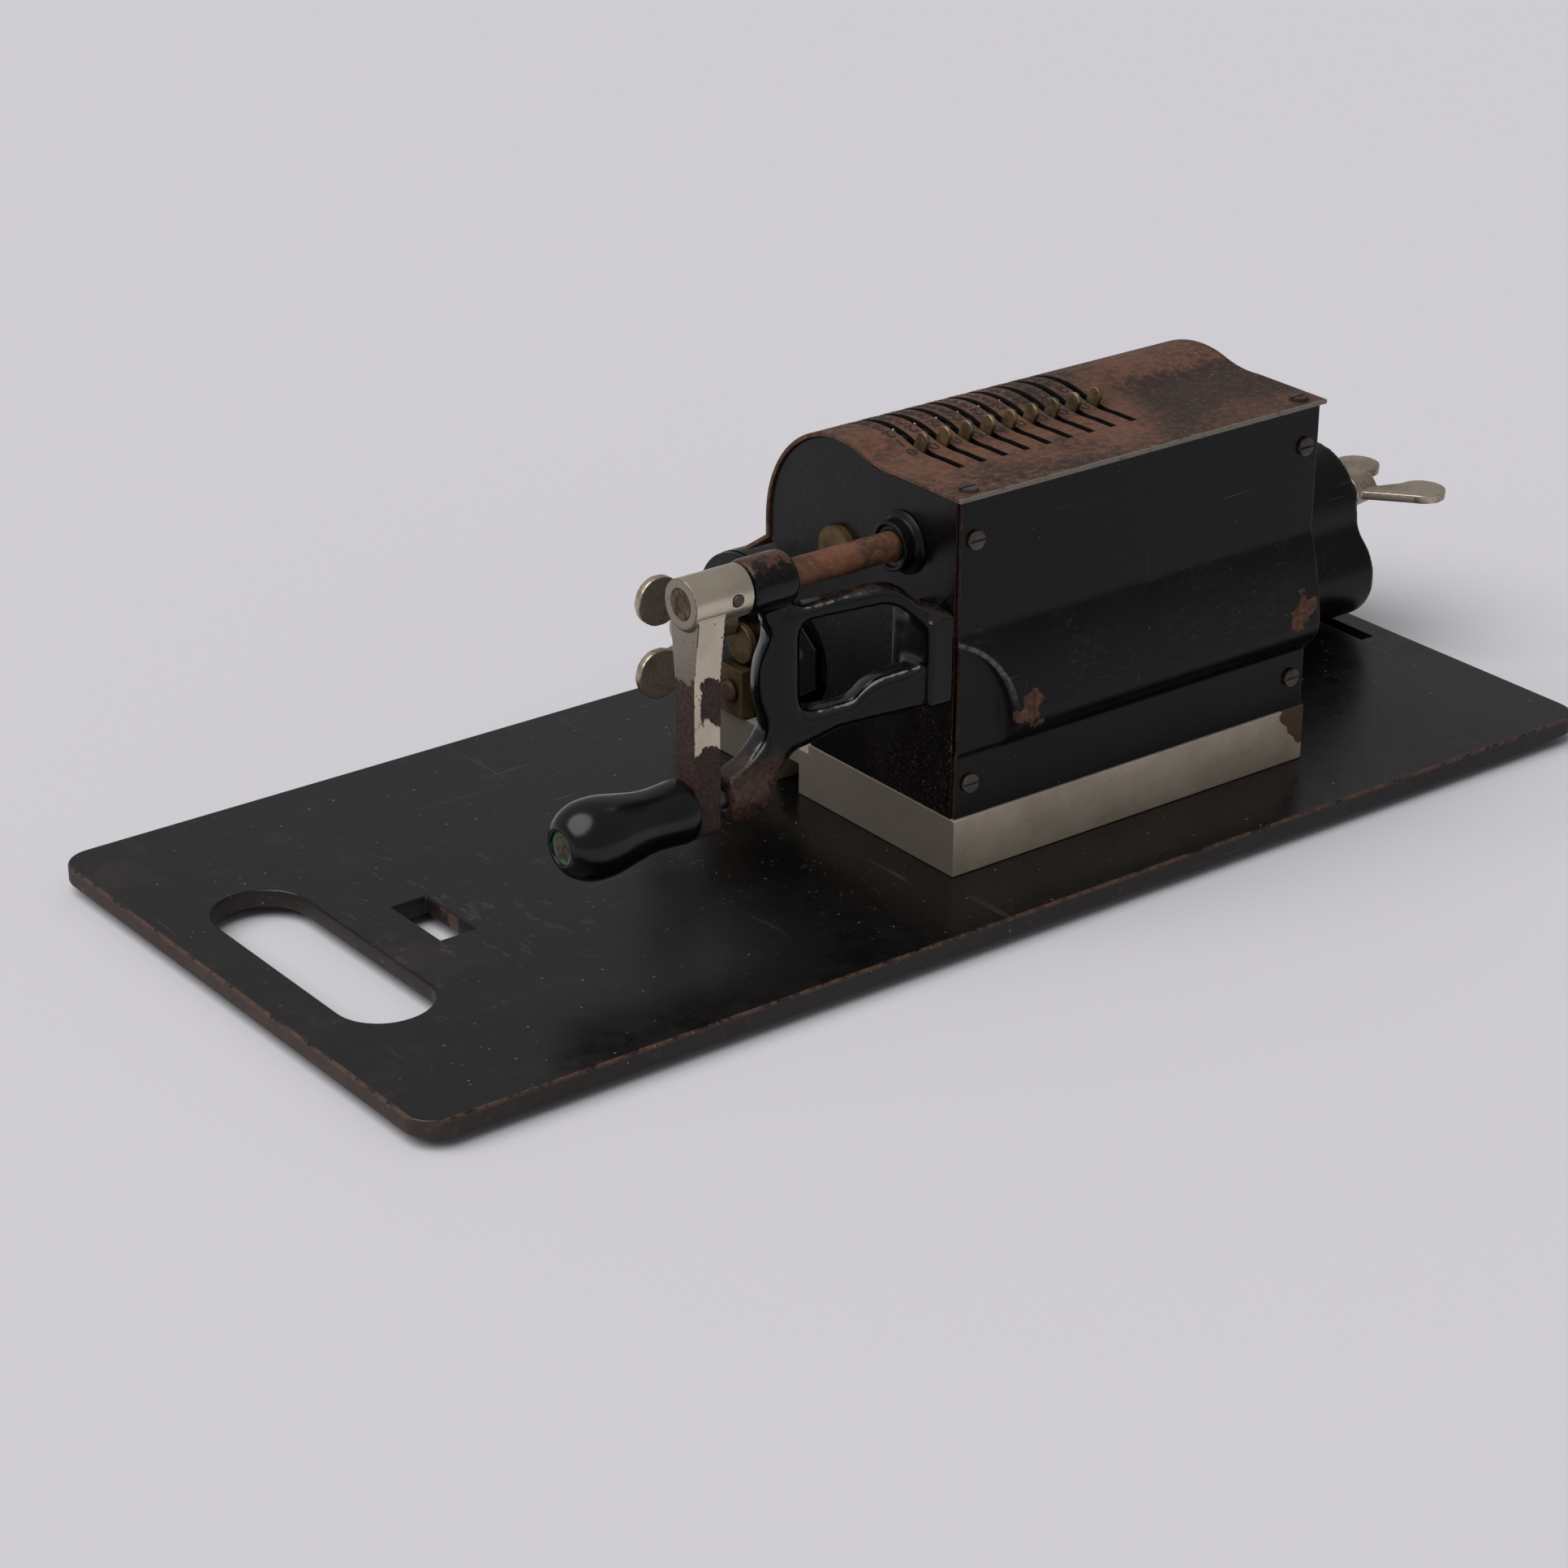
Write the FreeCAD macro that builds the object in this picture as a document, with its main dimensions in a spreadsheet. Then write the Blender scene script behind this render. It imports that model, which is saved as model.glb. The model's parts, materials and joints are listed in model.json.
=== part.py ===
import FreeCAD, Part
import Sketcher
import math
import os
import re

# A pinwheel calculating machine on its steel carrying board. +X is the operator's right (the crank
# side), -Y the operator's side, +Z up. The origin is on the floor under the middle of the whole object.
# Sizes along X are counted from the middle of the board, and heights of the machine from its top.

sizes = {
    # carrying board and feet
    "board_length": 500, "board_width": 226, "board_thickness": 6.5, "board_corner": 11, "foot_height": 4,
    "foot_radius": 11, "foot_inset": 28, "hand_slot_inset": 34.1, "hand_slot_width": 32.7,
    "hand_slot_length": 106, "hand_slot_round": 16, "catch_hole_inset": 76.5, "catch_hole_width": 13,
    "catch_hole_length": 29, "tie_slot_inset": 12.2, "tie_slot_width": 5.7, "tie_slot_length": 29.4,
    # cast base frame
    "base_left": -139.6, "base_right": 20.7, "base_rear": 79, "base_front": -76, "base_height": 20.6,
    "base_wall": 12, "deck_step": 0.8, "deck_height": 17.1, "rib_width": 12, "tunnel_rear": -4.5,
    "tunnel_front": -17, "tunnel_slope": 4, "tunnel_height": 11, "bolt_inset": 8, "bolt_radius": 2.5,
    "bolt_bite": 10, "bolt_head_radius": 4.5, "bolt_head_height": 3, "thread_gap": 0.05, "hole_gap": 0.3,
    # drum and crank axes and their gear pair
    "drum_y": 17.5, "drum_z": 97.5, "crank_rise": 13, "gear_module": 1.5, "gear_teeth": 24,
    "gear_left": 6, "gear_width": 6, "gear_hub_radius": 9, "gear_hub_length": 3, "run_gap": 0.05,
    # sheet covers, side plates and posts
    "plate_thickness": 3, "plate_rear": 76.8, "plate_foot": 2, "plate_chin_y": -14, "plate_chin_z": 84,
    "plate_brow_z": 89.5, "hump_radius": 39.7, "cover_sheet": 1.6, "cover_gap": 0.2, "cover_overhang": 1,
    "cover_flat_z": 133.6, "cover_rear": 79.5, "dip_front": 30.5, "dip_rear": 46, "dip_radius": 41,
    "lip_y": -33.7, "lip_z": 82.9, "lip_bend_z": 90.7, "slot_width": 2.8, "slot_rear": 56,
    "slot_front": -32.2, "back_sheet": 1.2, "back_margin": 1, "back_gap": 0.1, "bulge_end_x": 31,
    "bulge_end_z": 52, "bulge_end_radius": 32.5, "bulge_end_depth": 0.8, "bulge_top": 86,
    "bulge_hollow_right": -8, "bulge_crest_z": 57, "bulge_bottom": 43, "bulge_depth": 6.5,
    "bulge_upper_radius": 110, "bulge_lower_radius": 13, "post_width": 8, "post_depth": 6,
    "back_screw_high": 118, "back_screw_low": 32.5, "screw_radius": 1.6, "screw_head_radius": 3.3,
    "screw_head_height": 1.3, "screw_length": 5, "screw_slot_width": 0.8, "screw_slot_depth": 0.7,
    "stay_radius": 4, "stay_spigot": 2.5, "stay_bite": 2, "stay_rear_y": 62, "stay_rear_z": 40,
    "stay_front_y": 22, "stay_front_z": 33,
    # drum with its pinwheels and setting levers
    "lever_count": 9, "result_digits": 13, "counter_digits": 8, "digit_pitch": 9.4, "lever_first_x": 1.5,
    "ring_thickness": 1.6, "side_gap": 0.2, "disc_radius": 32, "disc_thickness": 3, "hub_radius": 13.9,
    "spacer_radius": 9, "flange_radius": 16, "flange_thickness": 1, "stack_gap": 0.1, "pin_count": 9,
    "pin_step": 18, "pin_width": 3, "pin_depth": 1.8, "pin_inner": 17.2, "pin_gap": 0.05,
    "ring_outer": 28, "tab_width": 5.4, "tab_tip": 46.6, "tab_round": 2.8, "tab_lean": 1.2,
    "lever_rest": 27, "cam_inner": 19.5, "cam_width": 3, "cam_lift": 3.6, "cam_half_angle": 62,
    "drum_shaft_radius": 6, "journal_radius": 4.5, "bush_radius": 8.5, "bush_out": 2.7,
    "shoulder_gap": 0.3, "finger_gap": 0.2, "finger_width": 4,
    # crank, its bearing boss, bracket and handle
    "crank_shaft_radius": 5, "crank_shaft_left": 4, "boss_radius": 8.6, "boss_out": 6.8, "boss_well": 7,
    "boss_sunk": 1, "boss_flange": 1.5, "boss_flange_radius": 10.8, "spigot_radius": 7,
    "bearing_left": 70, "bearing_right": 87.8, "bearing_radius": 9.3, "hub_right": 110.8, "arm_left": 99,
    "arm_thickness": 10.5, "crank_hub_radius": 8.5, "arm_width": 10.4, "crank_radius": 70.7,
    "arm_foot": 12.6, "arm_round": 5.4, "cross_pin_radius": 2, "cross_pin_x": 94.5, "crank_gap": 0.3,
    "frame_slant": 22, "frame_thickness": 9, "frame_start_x": 75, "leg_thickness": 10, "pad_out": 10,
    "pad_front": 56, "pad_rear": 77, "pad_low": 62.5, "pad_high": 93, "pad_screw_y": 62,
    "pad_screw_low": 70, "pad_screw_high": 86, "pad_screw_radius": 2.5, "pad_screw_bite": 9,
    "pad_screw_head": 4, "pad_screw_head_height": 2.4, "tip_left": 80, "tip_right": 95.6, "tip_radius": 8,
    "nose_radius": 3, "nose_hole": 3.4, "nose_depth": 8, "spindle_radius": 3.5, "grip_root_radius": 10.6,
    "grip_waist_radius": 10.2, "grip_radius": 13.3, "grip_right": 158, "grip_bulb": 13, "grip_neck": 14,
    "belly_round": 60, "neck_round": 70, "grip_gap": 0.3, "end_disc_radius": 5.4, "end_disc_sunk": 1,
    "end_disc_thickness": 2,
    # carriage
    "carriage_gap": 0.3, "carriage_left": -245, "housing_right": -206, "end_plate_left": 14,
    "end_plate_thickness": 3, "bed_rear": -24.5, "bed_top": 24, "apron_thickness": 3, "apron_low": 6,
    "rail_rear": -38, "rail_front": -44, "rail_height": 4.9, "idler_y": -9.1, "idler_z": 49.9,
    "number_y": -45.2, "number_z": 52.5, "wheel_teeth": 10, "tooth_root": 16.4, "tooth_tip": 19.1,
    "tooth_base_width": 5.4, "tooth_tip_width": 3, "wheel_width": 2.4, "wheel_inset": 0.3,
    "figure_radius": 14, "figure_width": 4, "wheel_hub": 6, "idler_hub": 3.2, "idler_axle_radius": 2,
    "clear_shaft_radius": 2.5, "counter_hub": 3.9, "mid_plate_left": -119.4, "mid_plate_thickness": 2.4,
    "plate_cut_gap": 1.1, "register_sheet": 1.2, "register_radius": 22.4, "result_edge_angle": 62,
    "counter_edge_angle": 135, "window_width": 3.4, "window_front": 15, "window_rear": 7, "window_low": 5,
    "window_high": 13, "lobe_y": -24, "lobe_z": 43, "lobe_radius": 23.2, "belly_y": -9, "belly_z": 20.5,
    "belly_radius": 18.7, "waist_round": 11, "housing_front": -66, "housing_brow": 18.1,
    "housing_wall": 4, "stop_front": -48, "stop_rear": -34, "stop_low": 17.8, "stop_high": 36,
    "stop_thickness": 6, "rivet_radius": 4.2, "rivet_height": 2, "rivet_y": -40.4, "rivet_z": 27,
    "collar_y": -39.6, "collar_z": 44, "collar_radius": 7.2, "collar_thickness": 3,
    "wing_hub_radius": 6.5, "left_hub_length": 12, "right_hub_length": 22, "wing_thickness": 3.2,
    "wing_lobe_radius": 9, "left_lobe_out": 23.5, "left_lobe_up": 17.4, "right_lobe_out": 30,
    "right_lobe_up": 13.6, "wing_neck": 6.2, "wing_root": 10.8, "wing_gap": 3.4,
}

formulas = {
    "middle_x": "(left_lobe_out + wing_lobe_radius + crank_gap - carriage_left - board_length / 2) / 2",
    "board_top": "foot_height + board_thickness",
    "hand_slot_x": "board_length / 2 - hand_slot_inset",
    "catch_hole_x": "board_length / 2 - catch_hole_inset",
    "tie_slot_x": "tie_slot_inset - board_length / 2",
    "crank_y": "drum_y + sqrt((gear_module * gear_teeth)^2 - crank_rise^2)",
    "crank_z": "drum_z + crank_rise",
    "drum_mesh": "atan2(crank_rise; crank_y - drum_y) / (1 deg)",
    "wheel_mesh": "atan2(number_z - idler_z; number_y - idler_y) / (1 deg)",
    "plate_right": "base_right - plate_thickness",
    "plate_left": "base_left + plate_thickness",
    "plate_top": "cover_flat_z - cover_sheet",
    "plate_brim": "plate_top - 2 * cover_gap",
    "plate_hump": "hump_radius - cover_sheet - cover_gap",
    "plate_cut": "tooth_tip + plate_cut_gap",
    "lever_half": "ring_thickness / 2 + side_gap",
    "finger_x": "lever_first_x - (result_digits + 1) * digit_pitch",
    "handle_z": "crank_z - crank_radius",
    "finger_reach": "sqrt((drum_y - idler_y)^2 + (drum_z - idler_z)^2) - tooth_tip - finger_gap",
    "bed_low": "deck_height + carriage_gap",
    "end_plate_right": "end_plate_left + end_plate_thickness",
    "mid_plate_right": "mid_plate_left + mid_plate_thickness",
    "wing_right_x": "end_plate_right + wing_gap",
    "end_round": "register_radius - carriage_gap",
    "post_y": "plate_rear - post_depth / 2",
    "post_right_x": "plate_right - post_width / 2",
    "post_left_x": "plate_left + post_width / 2",
    "back_outer": "plate_rear + back_sheet",
}

doc = FreeCAD.newDocument("PinwheelCalculator")
sheet = doc.addObject("Spreadsheet::Sheet", "Sizes")
for row, (alias, size) in enumerate(sizes.items(), 1):
    sheet.set(f"A{row}", alias)
    sheet.set(f"B{row}", str(size))
    sheet.setAlias(f"B{row}", alias)
doc.recompute()

nodes = []
along_x = {}
vector = FreeCAD.Vector
xAxis = vector(1, 0, 0)
yAxis = vector(0, 1, 0)


def expand(text):
    def word(match):
        name = match.group()
        if name in sizes:
            return "Sizes." + name
        return f"({expand(formulas[name])})" if name in formulas else name
    return re.sub(r"[a-z][a-z0-9_]*", word, str(text))


def value(text):
    return float(sheet.evalExpression(expand(text)))


def bind(thing, prop, text):
    thing.setExpression(prop, expand(text))


def place(thing, x="0", y="0", z="0", axis=None, angle="0"):
    if axis is not None:
        thing.Placement = FreeCAD.Placement(vector(), FreeCAD.Rotation(axis, value(angle)))
        bind(thing, "Placement.Rotation.Angle", angle)
    bind(thing, "Placement.Base.x", x)
    bind(thing, "Placement.Base.y", y)
    bind(thing, "Placement.Base.z", z)
    along_x[thing.Name] = x
    return thing


def keep(thing):
    # A sub-part that is handed on is set over from the middle of the board to the middle of the object.
    bind(thing, "Placement.Base.x", f"{along_x.get(thing.Name, '0')} + middle_x")
    nodes.append(thing)
    return thing


def new_body(label, x="0", y="0", z="board_top", axis=None, angle="0"):
    body = doc.addObject("PartDesign::Body", label)
    body.Label = label
    doc.recompute()
    return place(body, x, y, z, axis, angle)


def origin_feature(body, role):
    return [feature for feature in body.Origin.OriginFeatures if feature.Role == role][0]


def new_sketch(body, role, offset="0"):
    sketch = body.newObject("Sketcher::SketchObject", body.Label + "_sketch")
    sketch.AttachmentSupport = [(origin_feature(body, role), "")]
    sketch.MapMode = "FlatFace"
    bind(sketch, "AttachmentOffset.Base.z", offset)
    return sketch


def pin_down(sketch, kind, geometry, point, text):
    index = sketch.addConstraint(Sketcher.Constraint(kind, -1, 1, geometry, point, value(text)))
    bind(sketch, f"Constraints[{index}]", text)


def radius(sketch, geometry, text):
    index = sketch.addConstraint(Sketcher.Constraint("Radius", geometry, value(text)))
    bind(sketch, f"Constraints[{index}]", text)


def outline(sketch, corners):
    # A corner is (across, up), or (across, up, radius) where the way to the next corner is an arc:
    # a plain radius turns to the left of the way, one that starts with a minus turns to the right.
    spots = [vector(value(corner[0]), value(corner[1]), 0) for corner in corners]
    first = sketch.GeometryCount
    starts = []
    for index, corner in enumerate(corners):
        start = spots[index]
        end = spots[(index + 1) % len(corners)]
        if len(corner) == 2:
            sketch.addGeometry(Part.LineSegment(start, end), False)
            starts.append(1)
            continue
        turn = -1 if corner[2].startswith("-") else 1
        bend = value(corner[2].lstrip("-"))
        chord = end - start
        inward = vector(-chord.y, chord.x, 0) * (turn / chord.Length)
        middle = (start + end) / 2 + inward * math.sqrt(max(bend ** 2 - chord.Length ** 2 / 4, 0))
        ends = (start, end) if turn > 0 else (end, start)
        sketch.addGeometry(Part.ArcOfCircle(ends[0], middle - inward * bend, ends[1]), False)
        starts.append(1 if turn > 0 else 2)
    for index, corner in enumerate(corners):
        here = first + index
        after = (index + 1) % len(corners)
        sketch.addConstraint(Sketcher.Constraint(
            "Coincident", here, 3 - starts[index], first + after, starts[after]))
        pin_down(sketch, "DistanceX", here, starts[index], corner[0])
        pin_down(sketch, "DistanceY", here, starts[index], corner[1])
        if len(corner) == 3:
            radius(sketch, here, corner[2].lstrip("-"))


def circle(sketch, across, up, size):
    index = sketch.addGeometry(Part.Circle(vector(value(across), value(up), 0), vector(0, 0, 1),
                                           value(size)), False)
    pin_down(sketch, "DistanceX", index, 3, across)
    pin_down(sketch, "DistanceY", index, 3, up)
    radius(sketch, index, size)


def rectangle(sketch, left, right, low, high):
    outline(sketch, [(left, low), (right, low), (right, high), (left, high)])


def rounded(sketch, left, right, low, high, corner):
    outline(sketch, [
        (f"{left} + {corner}", low), (f"{right} - {corner}", low, corner),
        (right, f"{low} + {corner}"), (right, f"{high} - {corner}", corner),
        (f"{right} - {corner}", high), (f"{left} + {corner}", high, corner),
        (left, f"{high} - {corner}"), (left, f"{low} + {corner}", corner)])


def pad(body, sketch, length, centred=False):
    feature = body.newObject("PartDesign::Pad", body.Label + "_pad")
    feature.Profile = sketch
    feature.Midplane = centred
    bind(feature, "Length", length)
    doc.recompute()
    return feature


def pocket(body, sketch, length=None, forward=False):
    before = body.Shape.Volume
    feature = body.newObject("PartDesign::Pocket", body.Label + "_pocket")
    feature.Profile = sketch
    feature.Reversed = forward
    if length is None:
        feature.Type = "ThroughAll"
    else:
        bind(feature, "Length", length)
    doc.recompute()
    if body.Shape.Volume > before - 1e-3:
        raise RuntimeError(f"{body.Label}: a pocket cuts nothing")
    return feature


def turn(body, corners):
    # Corners are (along X, distance from the axis).
    sketch = new_sketch(body, "XY_Plane")
    outline(sketch, corners)
    feature = body.newObject("PartDesign::Revolution", body.Label + "_turn")
    feature.Profile = sketch
    feature.ReferenceAxis = (sketch, ["H_Axis"])
    feature.Angle = 360
    doc.recompute()
    return feature


def around(body, feature, count, angle="360"):
    pattern = body.newObject("PartDesign::PolarPattern", body.Label + "_around")
    pattern.Originals = [feature]
    pattern.Axis = (origin_feature(body, "X_Axis"), [""])
    bind(pattern, "Angle", angle)
    bind(pattern, "Occurrences", count)
    body.Tip = pattern
    doc.recompute()
    return pattern


def along(body, feature, count, step):
    pattern = body.newObject("PartDesign::LinearPattern", body.Label + "_along")
    pattern.Originals = [feature]
    pattern.Direction = (origin_feature(body, "X_Axis"), [""])
    pattern.Reversed = True
    bind(pattern, "Length", f"({count} - 1) * {step}")
    bind(pattern, "Occurrences", count)
    body.Tip = pattern
    doc.recompute()
    return pattern


def box(label, x, y, z, length, width, height):
    block = doc.addObject("Part::Box", label)
    block.Label = label
    bind(block, "Length", length)
    bind(block, "Width", width)
    bind(block, "Height", height)
    return place(block, x, y, z)


def rod(label, size, length, x="0", y="0", z="0", axis=None, angle="0"):
    # A round bar along its own Z, turned about the given axis.
    bar = doc.addObject("Part::Cylinder", label)
    bar.Label = label
    bind(bar, "Radius", size)
    bind(bar, "Height", length)
    return place(bar, x, y, z, axis, angle)


def cross_rod(label, size, left, right, y, z):
    return rod(label, size, f"{right} - ({left})", left, y, f"board_top + {z}", yAxis, "90")


def joined(label, parts):
    whole = doc.addObject("Part::MultiFuse", label)
    whole.Label = label
    whole.Shapes = parts
    whole.Refine = True
    return whole


def cut(label, whole, tools):
    tool = tools[0] if len(tools) == 1 else joined(label + "_tools", tools)
    rest = doc.addObject("Part::Cut", label)
    rest.Label = label
    rest.Base = whole
    rest.Tool = tool
    return rest


def copy_of(master, x="0", y="0", z="0", axis=None, angle="0"):
    link = doc.addObject("App::Link", master.Label + "_copy")
    link.LinkedObject = master
    link.LinkTransform = True
    return place(link, x, y, z, axis, angle)


def group(label, parts):
    whole = doc.addObject("Part::Compound", label)
    whole.Label = label
    whole.Links = parts
    return whole


def digit_x(index):
    return f"lever_first_x - {index} * digit_pitch"


def screw(label, shank, length, head, head_height):
    # The head's underside lies at the screw's own origin, and the shank runs down from it.
    solid = joined(label + "_solid", [
        rod(label + "_head", head, head_height),
        rod(label + "_shank", shank, length, z=f"-({length})")])
    slot = box(label + "_slot", f"-({head})", "-screw_slot_width / 2", f"{head_height} - screw_slot_depth",
               f"2 * ({head})", "screw_slot_width", "screw_slot_depth")
    return cut(label, solid, [slot])


def make_board():
    body = keep(new_body("carrying_board", z="foot_height"))
    sketch = new_sketch(body, "XY_Plane")
    rounded(sketch, "-board_length / 2", "board_length / 2", "-board_width / 2", "board_width / 2",
            "board_corner")
    rounded(sketch, "hand_slot_x - hand_slot_width / 2", "hand_slot_x + hand_slot_width / 2",
            "-hand_slot_length / 2", "hand_slot_length / 2", "hand_slot_round")
    rectangle(sketch, "catch_hole_x - catch_hole_width / 2", "catch_hole_x + catch_hole_width / 2",
              "-catch_hole_length / 2", "catch_hole_length / 2")
    rectangle(sketch, "tie_slot_x - tie_slot_width / 2", "tie_slot_x + tie_slot_width / 2",
              "-tie_slot_length / 2", "tie_slot_length / 2")
    pad(body, sketch, "board_thickness")
    holes = new_sketch(body, "XY_Plane", "board_thickness")
    heads = new_sketch(body, "XY_Plane", "bolt_head_height")
    for x, y in bolt_places():
        circle(holes, x, y, "bolt_radius + hole_gap")
        circle(heads, x, y, "bolt_head_radius + hole_gap")
    pocket(body, holes)
    pocket(body, heads, "bolt_head_height")
    foot = rod("foot", "foot_radius", "foot_height")
    reach_x = "(board_length / 2 - foot_inset)"
    reach_y = "(board_width / 2 - foot_inset)"
    keep(group("board_feet", [copy_of(foot, f"{side} * {reach_x}", f"{end} * {reach_y}")
                              for side in (-1, 1) for end in (-1, 1)]))
    bolt = screw("hold_down_bolt", "bolt_radius", "board_thickness - bolt_head_height + bolt_bite",
                 "bolt_head_radius", "bolt_head_height")
    keep(group("hold_down_bolts", [copy_of(bolt, x, y, "foot_height + bolt_head_height", xAxis, "180")
                                   for x, y in bolt_places()]))


def bolt_places():
    return [(x, y) for x in ("base_left + bolt_inset", "base_right - bolt_inset")
            for y in ("base_front + bolt_inset", "base_rear - bolt_inset")]


def make_base():
    body = keep(new_body("base_frame"))
    side = new_sketch(body, "YZ_Plane", "base_left")
    outline(side, [
        ("base_rear", "0"), ("base_rear", "base_height"), ("deck_step", "base_height"),
        ("deck_step", "deck_height"), ("base_front", "deck_height"), ("base_front", "0"),
        ("tunnel_front", "0"),
        ("tunnel_front + tunnel_slope", "tunnel_height"), ("tunnel_rear", "tunnel_height"),
        ("tunnel_rear", "0")])
    pad(body, side, "base_right - base_left")
    inside = new_sketch(body, "XY_Plane", "base_height")
    rectangle(inside, "base_left + base_wall", "base_right - base_wall", "deck_step + rib_width",
              "base_rear - base_wall")
    rectangle(inside, "base_left + base_wall", "base_right - base_wall", "base_front + base_wall",
              "rail_front - rib_width / 4")
    pocket(body, inside)
    holes = new_sketch(body, "XY_Plane", "0")
    for x, y in bolt_places():
        circle(holes, x, y, "bolt_radius + thread_gap")
    pocket(body, holes, "bolt_bite + hole_gap", forward=True)
    keep(box("carriage_rail", "base_left", "rail_front", "board_top + deck_height",
             "end_plate_left - carriage_gap - base_left", "rail_rear - rail_front", "rail_height"))


def plate_outline(sketch):
    shoulder = "sqrt(plate_hump^2 - (plate_brim - drum_z)^2)"
    upper = "sqrt(plate_cut^2 - (plate_chin_y - idler_y)^2)"
    lower = "sqrt(plate_cut^2 - (plate_foot - idler_y)^2)"
    outline(sketch, [
        ("plate_foot", "base_height"), ("plate_rear", "base_height"), ("plate_rear", "plate_brim"),
        (f"drum_y + {shoulder}", "plate_brim", "plate_hump"), ("drum_y - plate_hump", "drum_z"),
        ("drum_y - plate_hump", "plate_brow_z"), ("plate_chin_y", "plate_chin_z"),
        ("plate_chin_y", f"idler_z + {upper}", "-plate_cut"), ("plate_foot", f"idler_z - {lower}")])


def make_side_plates():
    for label, offset, inner in (("side_plate_right", "plate_right", "plate_right"),
                                 ("side_plate_left", "base_left", "plate_left")):
        body = keep(new_body(label))
        sketch = new_sketch(body, "YZ_Plane", offset)
        plate_outline(sketch)
        circle(sketch, "drum_y", "drum_z", "bush_radius + thread_gap")
        if label == "side_plate_right":
            circle(sketch, "crank_y", "crank_z", "spigot_radius + thread_gap")
            for height in ("pad_screw_low", "pad_screw_high"):
                circle(sketch, "pad_screw_y", height, "pad_screw_radius + thread_gap")
        pad(body, sketch, "plate_thickness")
        seats = new_sketch(body, "YZ_Plane", inner)
        circle(seats, "stay_rear_y", "stay_rear_z", "stay_spigot + thread_gap")
        circle(seats, "stay_front_y", "stay_front_z", "stay_spigot + thread_gap")
        pocket(body, seats, "stay_bite", forward=label == "side_plate_right")
    stays = []
    for name, y, z in (("rear", "stay_rear_y", "stay_rear_z"), ("front", "stay_front_y", "stay_front_z")):
        stay = new_body(f"stay_{name}", y=y, z=f"board_top + {z}")
        left = "plate_left - stay_bite"
        right = "plate_right + stay_bite"
        turn(stay, [(left, "0"), (right, "0"), (right, "stay_spigot"), ("plate_right", "stay_spigot"),
                    ("plate_right", "stay_radius"), ("plate_left", "stay_radius"),
                    ("plate_left", "stay_spigot"), (left, "stay_spigot")])
        stays.append(stay)
    keep(group("stay_rods", stays))


def make_posts():
    for label, x in (("rear_post_right", "post_right_x"), ("rear_post_left", "post_left_x")):
        body = keep(new_body(label, x=x, y="post_y"))
        sketch = new_sketch(body, "XY_Plane", "base_height")
        rectangle(sketch, "-post_width / 2", "post_width / 2", "-post_depth / 2", "post_depth / 2")
        pad(body, sketch, "plate_top - base_height")
        rear = new_sketch(body, "XZ_Plane", "-post_depth / 2")
        for height in ("back_screw_high", "back_screw_low"):
            circle(rear, "0", height, "screw_radius + thread_gap")
        pocket(body, rear, "screw_length + hole_gap", forward=True)
        top = new_sketch(body, "XY_Plane", "plate_top")
        circle(top, "0", "0", "screw_radius + thread_gap")
        pocket(body, top, "screw_length + hole_gap")


def bulge_sketch(body, inset):
    sketch = new_sketch(body, "YZ_Plane", "base_left + back_margin")
    face = f"back_outer - {inset}"
    outline(sketch, [
        (face, f"bulge_top - {inset}", f"-(bulge_upper_radius - {inset})"),
        (f"{face} + bulge_depth", "bulge_crest_z", f"-(bulge_lower_radius - {inset})"),
        (face, f"bulge_bottom + {inset}")])
    return sketch


def make_back_cover():
    # The pressed bulge runs the whole width, and a round field at its right end is sunk almost to the sheet.
    body = keep(new_body("back_cover"))
    sketch = new_sketch(body, "XZ_Plane", "-back_outer")
    rectangle(sketch, "base_left + back_margin", "base_right - back_margin", "base_height",
              "plate_top - back_gap")
    pad(body, sketch, "back_sheet")
    left = "(base_left + back_margin)"
    pad(body, bulge_sketch(body, "0"), f"base_right - back_margin - {left}")
    field = new_sketch(body, "XZ_Plane", "-back_outer - bulge_end_depth")
    circle(field, "bulge_end_x", "bulge_end_z", "bulge_end_radius")
    pocket(body, field, "bulge_depth")
    pocket(body, bulge_sketch(body, "back_sheet"), f"bulge_hollow_right - {left}", forward=True)
    holes = new_sketch(body, "XZ_Plane", "-back_outer")
    for x in ("post_left_x", "post_right_x"):
        for height in ("back_screw_high", "back_screw_low"):
            circle(holes, x, height, "screw_radius + hole_gap")
    pocket(body, holes, "back_sheet", forward=True)
    fastener = screw("cover_screw", "screw_radius", "screw_length", "screw_head_radius", "screw_head_height")
    keep(group("back_cover_screws", [
        copy_of(fastener, x, "back_outer", f"board_top + {height}", xAxis, "-90")
        for x in ("post_left_x", "post_right_x") for height in ("back_screw_high", "back_screw_low")]))
    keep(group("top_cover_screws", [copy_of(fastener, x, "post_y", "board_top + cover_flat_z")
                                    for x in ("post_left_x", "post_right_x")]))


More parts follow.
